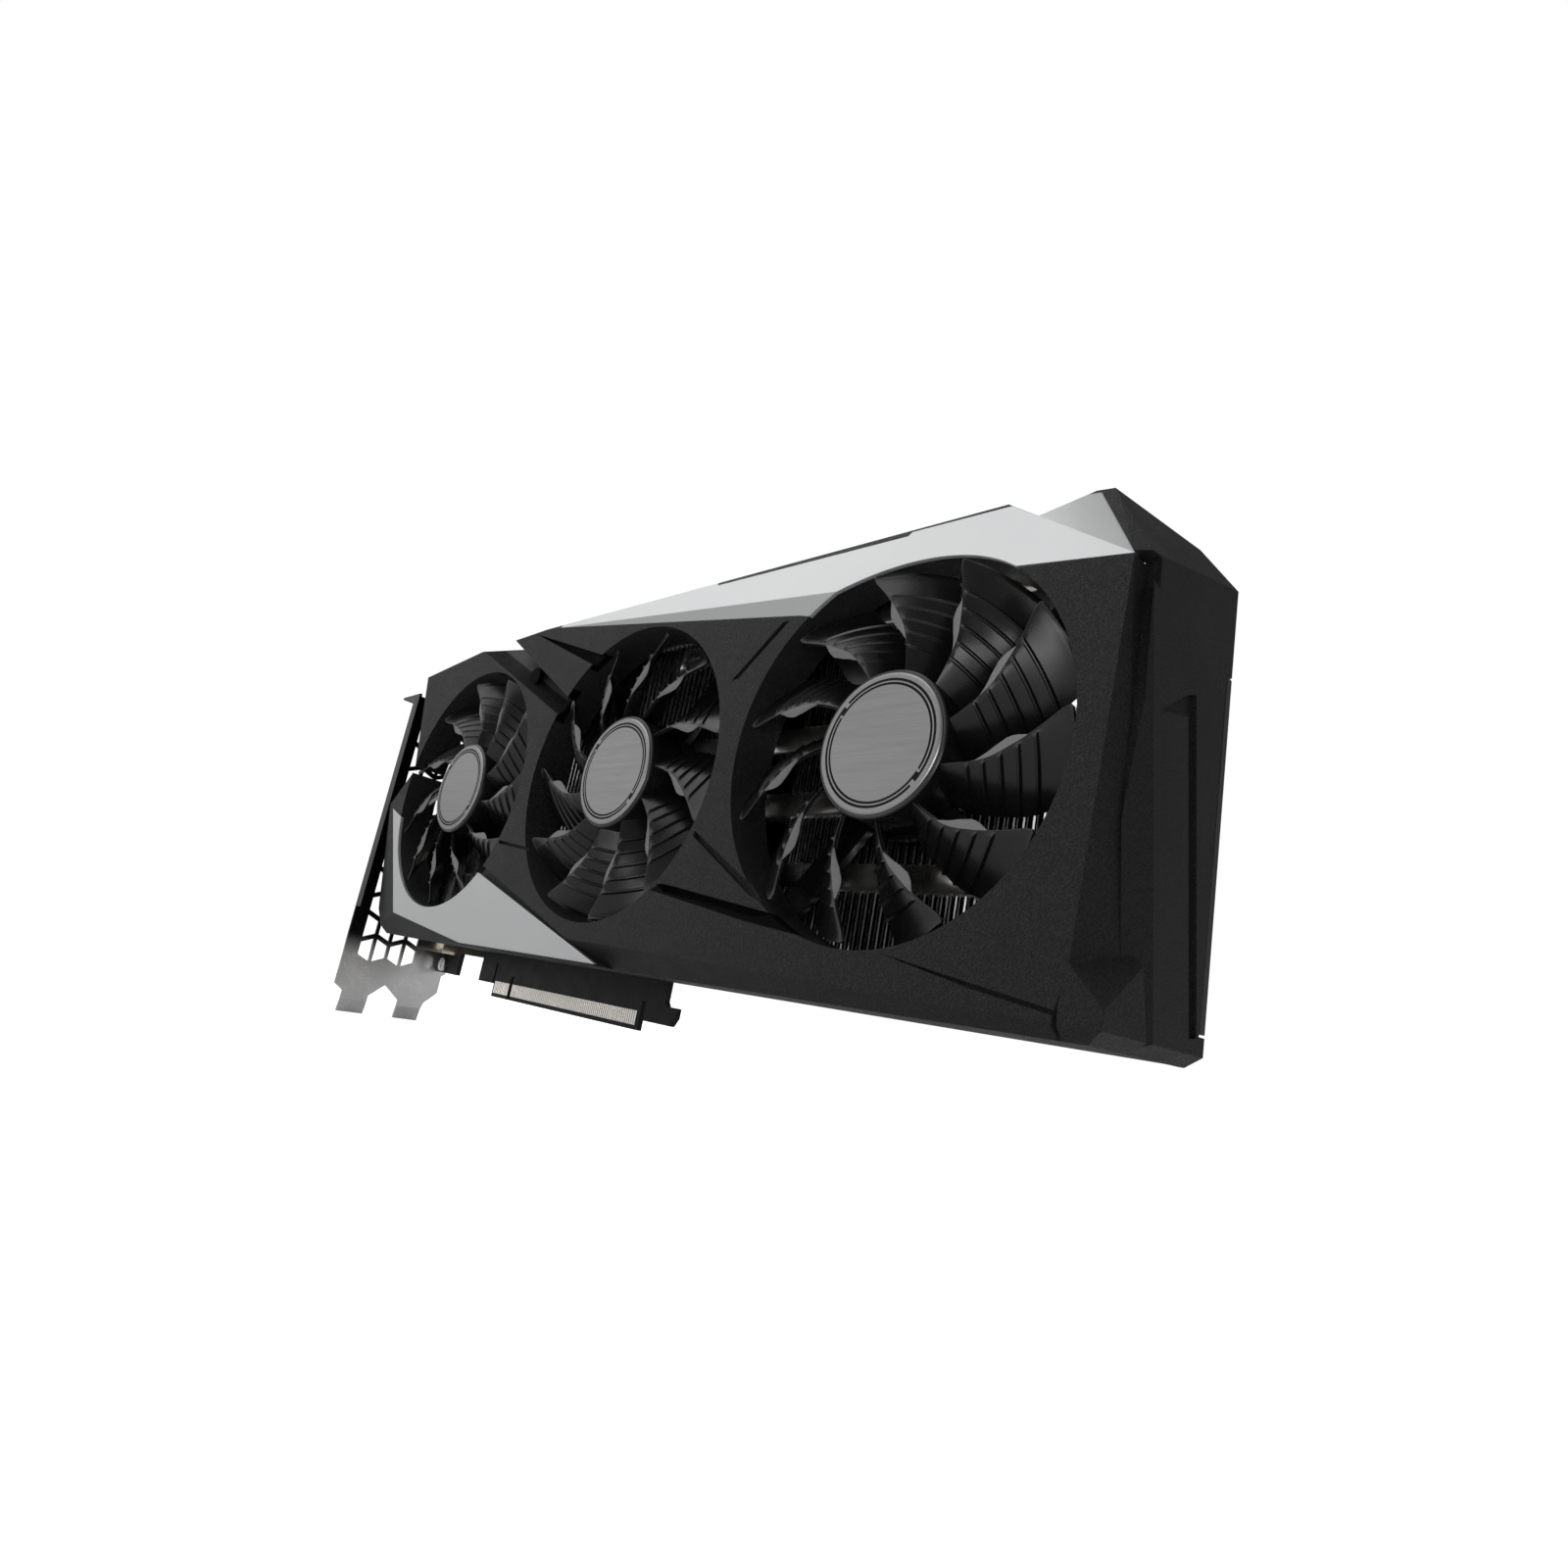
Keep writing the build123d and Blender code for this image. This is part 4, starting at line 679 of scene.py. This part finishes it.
# The lip's two rows of points on each skin: share of its width, share of its drop, and mm further back.
LIP_FRONT = [(1.0, 1.0, 0.15), (0.5, 0.35, 0.03)]
LIP_BACK = [(0.9, 1.0, 0.55), (0.4, 0.35, 0.75)]
# Radii between which the lip is paler than the blade, a painted highlight.
LIP_HIGHLIGHT_RADII = (22.0, 30.9)
# Thin ribs across the front of a blade: the flat top reaches inside and outside the rib's radius, with a
# steep flank inside that and a long low ramp up to it.
RIB_RADII = [20.6 + 3.0 * k for k in range(5)]
RIB_HEIGHT = 0.55
RIB_INSIDE = 0.12
RIB_OUTSIDE = 0.10
RIB_FLANK = 0.33
RIB_RAMP = 2.4
RIB_RAMP_SHARE = 0.35
# Where along the chord the ribs fade in behind the front edge.
RIB_START = (0.02, 0.09)
# Cuts about each rib: the foot of its flank, both edges of its top, and two on the band outside it.
RIB_CUTS = [-0.45, -RIB_INSIDE, RIB_OUTSIDE, 0.35, 1.4]
ROOT_STATIONS = [ROOT_R, 16.2, 17.8, 19.2]
TIP_STATIONS = [35.2, 36.2, 37.0, 37.6, 38.1, 38.5, TIP_R]
# Radii at which a blade is cut, close together at its ribs and its tip, and the cuts along its chord.
STATIONS = ROOT_STATIONS + [r + cut for r in RIB_RADII for cut in RIB_CUTS] + TIP_STATIONS
CHORD_STEPS = [0.0, 0.02, 0.05, 0.09, 0.15, 0.23, 0.32, 0.42, 0.52, 0.62, 0.72, 0.82, 0.91, 1.0]
# A hub from the rim of its front, round the outside and back up its hollow inside, as (radius, y).
HUB_PROFILE = [(14.5, -36.9), (14.9, -36.85), (15.15, -36.65), (15.3, -36.3), (15.3, -27.3), (15.1, -26.9),
               (14.0, -26.9), (14.0, -35.4)]
HUB_SEGMENTS = 96


def rib_height(r):
    """A thin rib at each rib radius, with the band inside it rising slowly to meet it."""
    for rib in RIB_RADII:
        inner = rib - RIB_INSIDE
        if rib - RIB_RAMP <= r <= inner:
            ramp = (r - rib + RIB_RAMP) / (RIB_RAMP - RIB_INSIDE)
            flank = max(0.0, 1.0 - (inner - r) / RIB_FLANK)
            return RIB_HEIGHT * (RIB_RAMP_SHARE * ramp + (1 - RIB_RAMP_SHARE) * flank)
        if inner < r <= rib + RIB_OUTSIDE:
            return RIB_HEIGHT
    return 0.0


def blade_point(r, t, lift=0.0):
    """Angle in degrees and depth in mm of a blade's front surface, t from its front edge to its rear edge."""
    lead = interpolate(FRONT_EDGE, r)
    depth = BLADE_BACK_Y - BLADE_THICK * 0.4 - BLADE_FRONT_Y
    chord = math.radians(lead - interpolate(REAR_EDGE, r)) * r
    slope = BLADE_SWEEP * depth * max(t, 0.01) ** (BLADE_SWEEP - 1) / chord
    normal = (-slope / math.hypot(1, slope), -1 / math.hypot(1, slope))
    along = -t * chord + normal[0] * lift
    y = BLADE_FRONT_Y + depth * t ** BLADE_SWEEP + normal[1] * lift
    return lead + math.degrees(along / r), y


def add_blade(points, faces, face_looks, centre, turn, sign):
    """Adds one blade: a ribbed front skin with a folded lip, a smooth back skin and the rim between them."""
    rows, columns = len(STATIONS), len(CHORD_STEPS) + 2

    def place(r, angle, y):
        a = math.radians(angle + turn)
        points.append((centre[0] + r * math.cos(a) * sign, y, centre[1] + r * math.sin(a)))

    def place_lip(r, lip_rows):
        lip, lead = interpolate(LIP, r), interpolate(FRONT_EDGE, r)
        for width_share, drop_share, further in lip_rows:
            place(r, lead + lip * width_share, BLADE_FRONT_Y + lip * LIP_SLOPE * drop_share + further)

    front = len(points)
    for r in STATIONS:
        place_lip(r, LIP_FRONT)
        for t in CHORD_STEPS:
            fade = min(1.0, max(0.0, (t - RIB_START[0]) / (RIB_START[1] - RIB_START[0])))
            place(r, *blade_point(r, t, rib_height(r) * fade))
    back = len(points)
    for r in STATIONS:
        place_lip(r, LIP_BACK)
        for t in CHORD_STEPS:
            thickness = BLADE_THICK * (0.8 + 0.2 * math.sin(math.pi * t))
            angle, y = blade_point(r, t, -thickness)
            place(r, angle, min(y, BLADE_BACK_Y + 0.1))

    for k, face in enumerate(grid_faces(rows, columns, front, flip=sign < 0)):
        row, column = divmod(k, columns - 1)
        # Painted highlight: the lip's front faces between these radii take the paler look.
        pale = column < len(LIP_FRONT) and LIP_HIGHLIGHT_RADII[0] <= STATIONS[row] <= LIP_HIGHLIGHT_RADII[1]
        faces.append(face)
        face_looks.append("fan_lip_highlight" if pale else "fan")
    back_faces = grid_faces(rows, columns, back, flip=sign > 0)
    faces += back_faces
    face_looks += ["fan"] * len(back_faces)

    rim = [i * columns for i in range(rows)]
    rim += [(rows - 1) * columns + j for j in range(1, columns)]
    rim += [i * columns + columns - 1 for i in range(rows - 2, -1, -1)]
    rim += list(range(columns - 2, 0, -1))
    for a, b in zip(rim, rim[1:] + rim[:1]):
        quad = (front + a, front + b, back + b, back + a)
        faces.append(quad if sign > 0 else quad[::-1])
        face_looks.append("fan")


def build_rotor(fan, sign):
    """Hub and blades of one fan; sign is -1 for the mirror image."""
    centre = fan_centre(fan)
    points, faces, face_looks = [], [], []
    lathe(points, faces, face_looks, centre, HUB_PROFILE, HUB_SEGMENTS, lambda band, k: "fan")
    for blade in range(BLADES):
        add_blade(points, faces, face_looks, centre, blade * 360 / BLADES, sign)
    rotor = make_piece(f"rotor_{fan}", points, faces, face_looks, ["fan", "fan_lip_highlight"],
                       f"fan_{fan}", sharp=28.0)
    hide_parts(f"fan_rotor_{fan}")


# ---------------------------------------------------------------- hub badges
BADGE_FRONT_Y = -37.3
BADGE_BACK_Y = -36.9
BADGE_R = 14.4
BADGE_INNER_R = 2.0
BADGE_SEGMENTS = 144
# The two ring lines: inner and outer radius of each.
RING_INNER = (11.85, 12.35)
RING_OUTER = (12.65, 13.20)
# Radii at which the flat face is cut, and the rounded rim outside it as radius and depth behind the face.
BADGE_FACE_RADII = [BADGE_INNER_R, 6.0, 10.0, *RING_INNER, *RING_OUTER, 13.75]
BADGE_RIM = [(14.1, 0.02), (14.27, 0.1), (BADGE_R, 0.24)]
# The badge from its middle out over the rim and back in behind, as (radius, y).
BADGE_PROFILE = [(r, BADGE_FRONT_Y) for r in BADGE_FACE_RADII]
BADGE_PROFILE += [(r, BADGE_FRONT_Y + depth) for r, depth in BADGE_RIM]
BADGE_PROFILE += [(BADGE_R, BADGE_BACK_Y), (BADGE_INNER_R, BADGE_BACK_Y)]
INNER_BAND = BADGE_FACE_RADII.index(RING_INNER[0])
OUTER_BAND = BADGE_FACE_RADII.index(RING_OUTER[0])
RIM_BAND = len(BADGE_FACE_RADII)
# Angles at which the two lines join, the width of the join, and the gap in one line on each side of it.
NOTCHES = (143.0, 323.0)
NOTCH_SPAN = 7.0
NOTCH_GAP = 4.0


def inked_bands(angle):
    """The bands of the badge's face that carry ink at an angle in degrees."""
    for notch in NOTCHES:
        away = (angle - notch + 180) % 360 - 180
        if abs(away) < NOTCH_SPAN / 2:
            return range(INNER_BAND, OUTER_BAND + 1)
        if NOTCH_SPAN / 2 <= away < NOTCH_SPAN / 2 + NOTCH_GAP:
            return [OUTER_BAND]
        if -NOTCH_SPAN / 2 - NOTCH_GAP < away <= -NOTCH_SPAN / 2:
            return [INNER_BAND]
    return [INNER_BAND, OUTER_BAND]


def badge_face_look(band, k):
    """Look of a badge's face in a band of its profile and a segment of its turn."""
    if band in inked_bands((k + 0.5) * 360 / BADGE_SEGMENTS):
        return "ring_ink"
    return "badge_rim" if band >= RIM_BAND else "badge"


def build_badge(fan):
    """Badge of one fan, with its two ring lines and its rounded rim."""
    points, faces, face_looks = [], [], []
    lathe(points, faces, face_looks, fan_centre(fan), BADGE_PROFILE, BADGE_SEGMENTS, badge_face_look)
    badge = make_piece(f"badge_{fan}", points, faces, face_looks, ["badge", "badge_rim", "ring_ink"],
                       f"fan_{fan}", sharp=40.0)
    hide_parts(f"hub_badge_{fan}")


for fan, sign in zip(FANS, (1, -1, 1)):
    build_rotor(fan, sign)
    build_badge(fan)

# ---------------------------------------------------------------- floor, light and sky
FLOOR_HALF = 6.0
# The floor glows white to the eye, a little less near the card: distances in metres, and how brightly.
FLOOR_GLOW_SPAN = (0.25, 1.3)
FLOOR_GLOW_NEAR = 0.92
FLOOR_GLOW_FAR = 1.0
# The share of that glow that lights the card.
FLOOR_LIGHT = 0.05
# How bright the sky is to the eye, and as a light.
SKY_SEEN = 1.0
SKY_LIGHT = 0.16


def build_floor():
    """Wide, flat, pale floor at the height of the card's lowest point."""
    look = Look("floor")
    cloud = look.noise(60.0, detail=3.0)
    look.colour(cloud, 0.86, 0.90)
    look.rough(cloud, 0.75, 0.85)
    look.shader.inputs["Emission Color"].default_value = (1, 1, 1, 1)
    far = look.node("ShaderNodeVectorMath", operation="LENGTH")
    look.wire(look.place, far.inputs[0])
    glow = look.spread(far.outputs["Value"], *FLOOR_GLOW_SPAN, FLOOR_GLOW_NEAR, FLOOR_GLOW_FAR)
    seen = look.node("ShaderNodeLightPath").outputs["Is Camera Ray"]
    strength = look.math("MULTIPLY", glow, look.spread(seen, 0.0, 1.0, FLOOR_LIGHT, 1.0))
    look.wire(strength, look.shader.inputs["Emission Strength"])
    corners = [(-FLOOR_HALF, -FLOOR_HALF), (FLOOR_HALF, -FLOOR_HALF),
               (FLOOR_HALF, FLOOR_HALF), (-FLOOR_HALF, FLOOR_HALF)]
    mesh = bpy.data.meshes.new("floor")
    mesh.from_pydata([(x, y, cad_low.z) for x, y in corners], [], [(0, 1, 2, 3)])
    mesh.materials.append(look.finish())
    floor = bpy.data.objects.new("floor", mesh)
    bpy.context.scene.collection.objects.link(floor)


def softbox(name, place, aim, width, height, power):
    """Rectangular lamp: place, aim and size in metres, power in watts."""
    lamp = bpy.data.lights.new(name, "AREA")
    lamp.shape = "RECTANGLE"
    lamp.size, lamp.size_y = width, height
    lamp.energy = power
    holder = bpy.data.objects.new(name, lamp)
    bpy.context.scene.collection.objects.link(holder)
    holder.location = place
    holder.rotation_euler = (Vector(aim) - Vector(place)).to_track_quat("-Z", "Y").to_euler()


def build_sky():
    """White to the eye, dimmer as a light."""
    world = bpy.data.worlds.new("studio")
    bpy.context.scene.world = world
    world.use_nodes = True
    tree = world.node_tree
    background = tree.nodes["Background"]
    background.inputs["Color"].default_value = (1, 1, 1, 1)
    path = tree.nodes.new("ShaderNodeLightPath")
    strength = tree.nodes.new("ShaderNodeMapRange")
    strength.inputs["To Min"].default_value = SKY_LIGHT
    strength.inputs["To Max"].default_value = SKY_SEEN
    tree.links.new(path.outputs["Is Camera Ray"], strength.inputs["Value"])
    tree.links.new(strength.outputs[0], background.inputs["Strength"])


bpy.context.scene.view_settings.view_transform = "Standard"
build_floor()
build_sky()
middle = (cad_low + cad_high) / 2
softbox("key", (-0.55, -0.85, 0.50), middle, 1.2, 0.6, 1.9)
softbox("left", (-0.95, -0.40, 0.12), middle, 0.6, 0.7, 0.65)
softbox("strip", (-0.42, -0.85, 0.10), middle, 0.36, 0.12, 0.32)
softbox("low", (0.40, -0.34, 0.0), (0.20, -0.03, 0.08), 0.30, 0.16, 0.60)
softbox("back", (-0.75, 0.85, 0.40), middle, 0.9, 0.7, 1.6)
softbox("right", (1.0, 0.42, 0.06), middle, 0.6, 0.5, 0.55)
softbox("top", (-0.35, -0.25, 0.95), middle, 1.6, 0.9, 5.2)
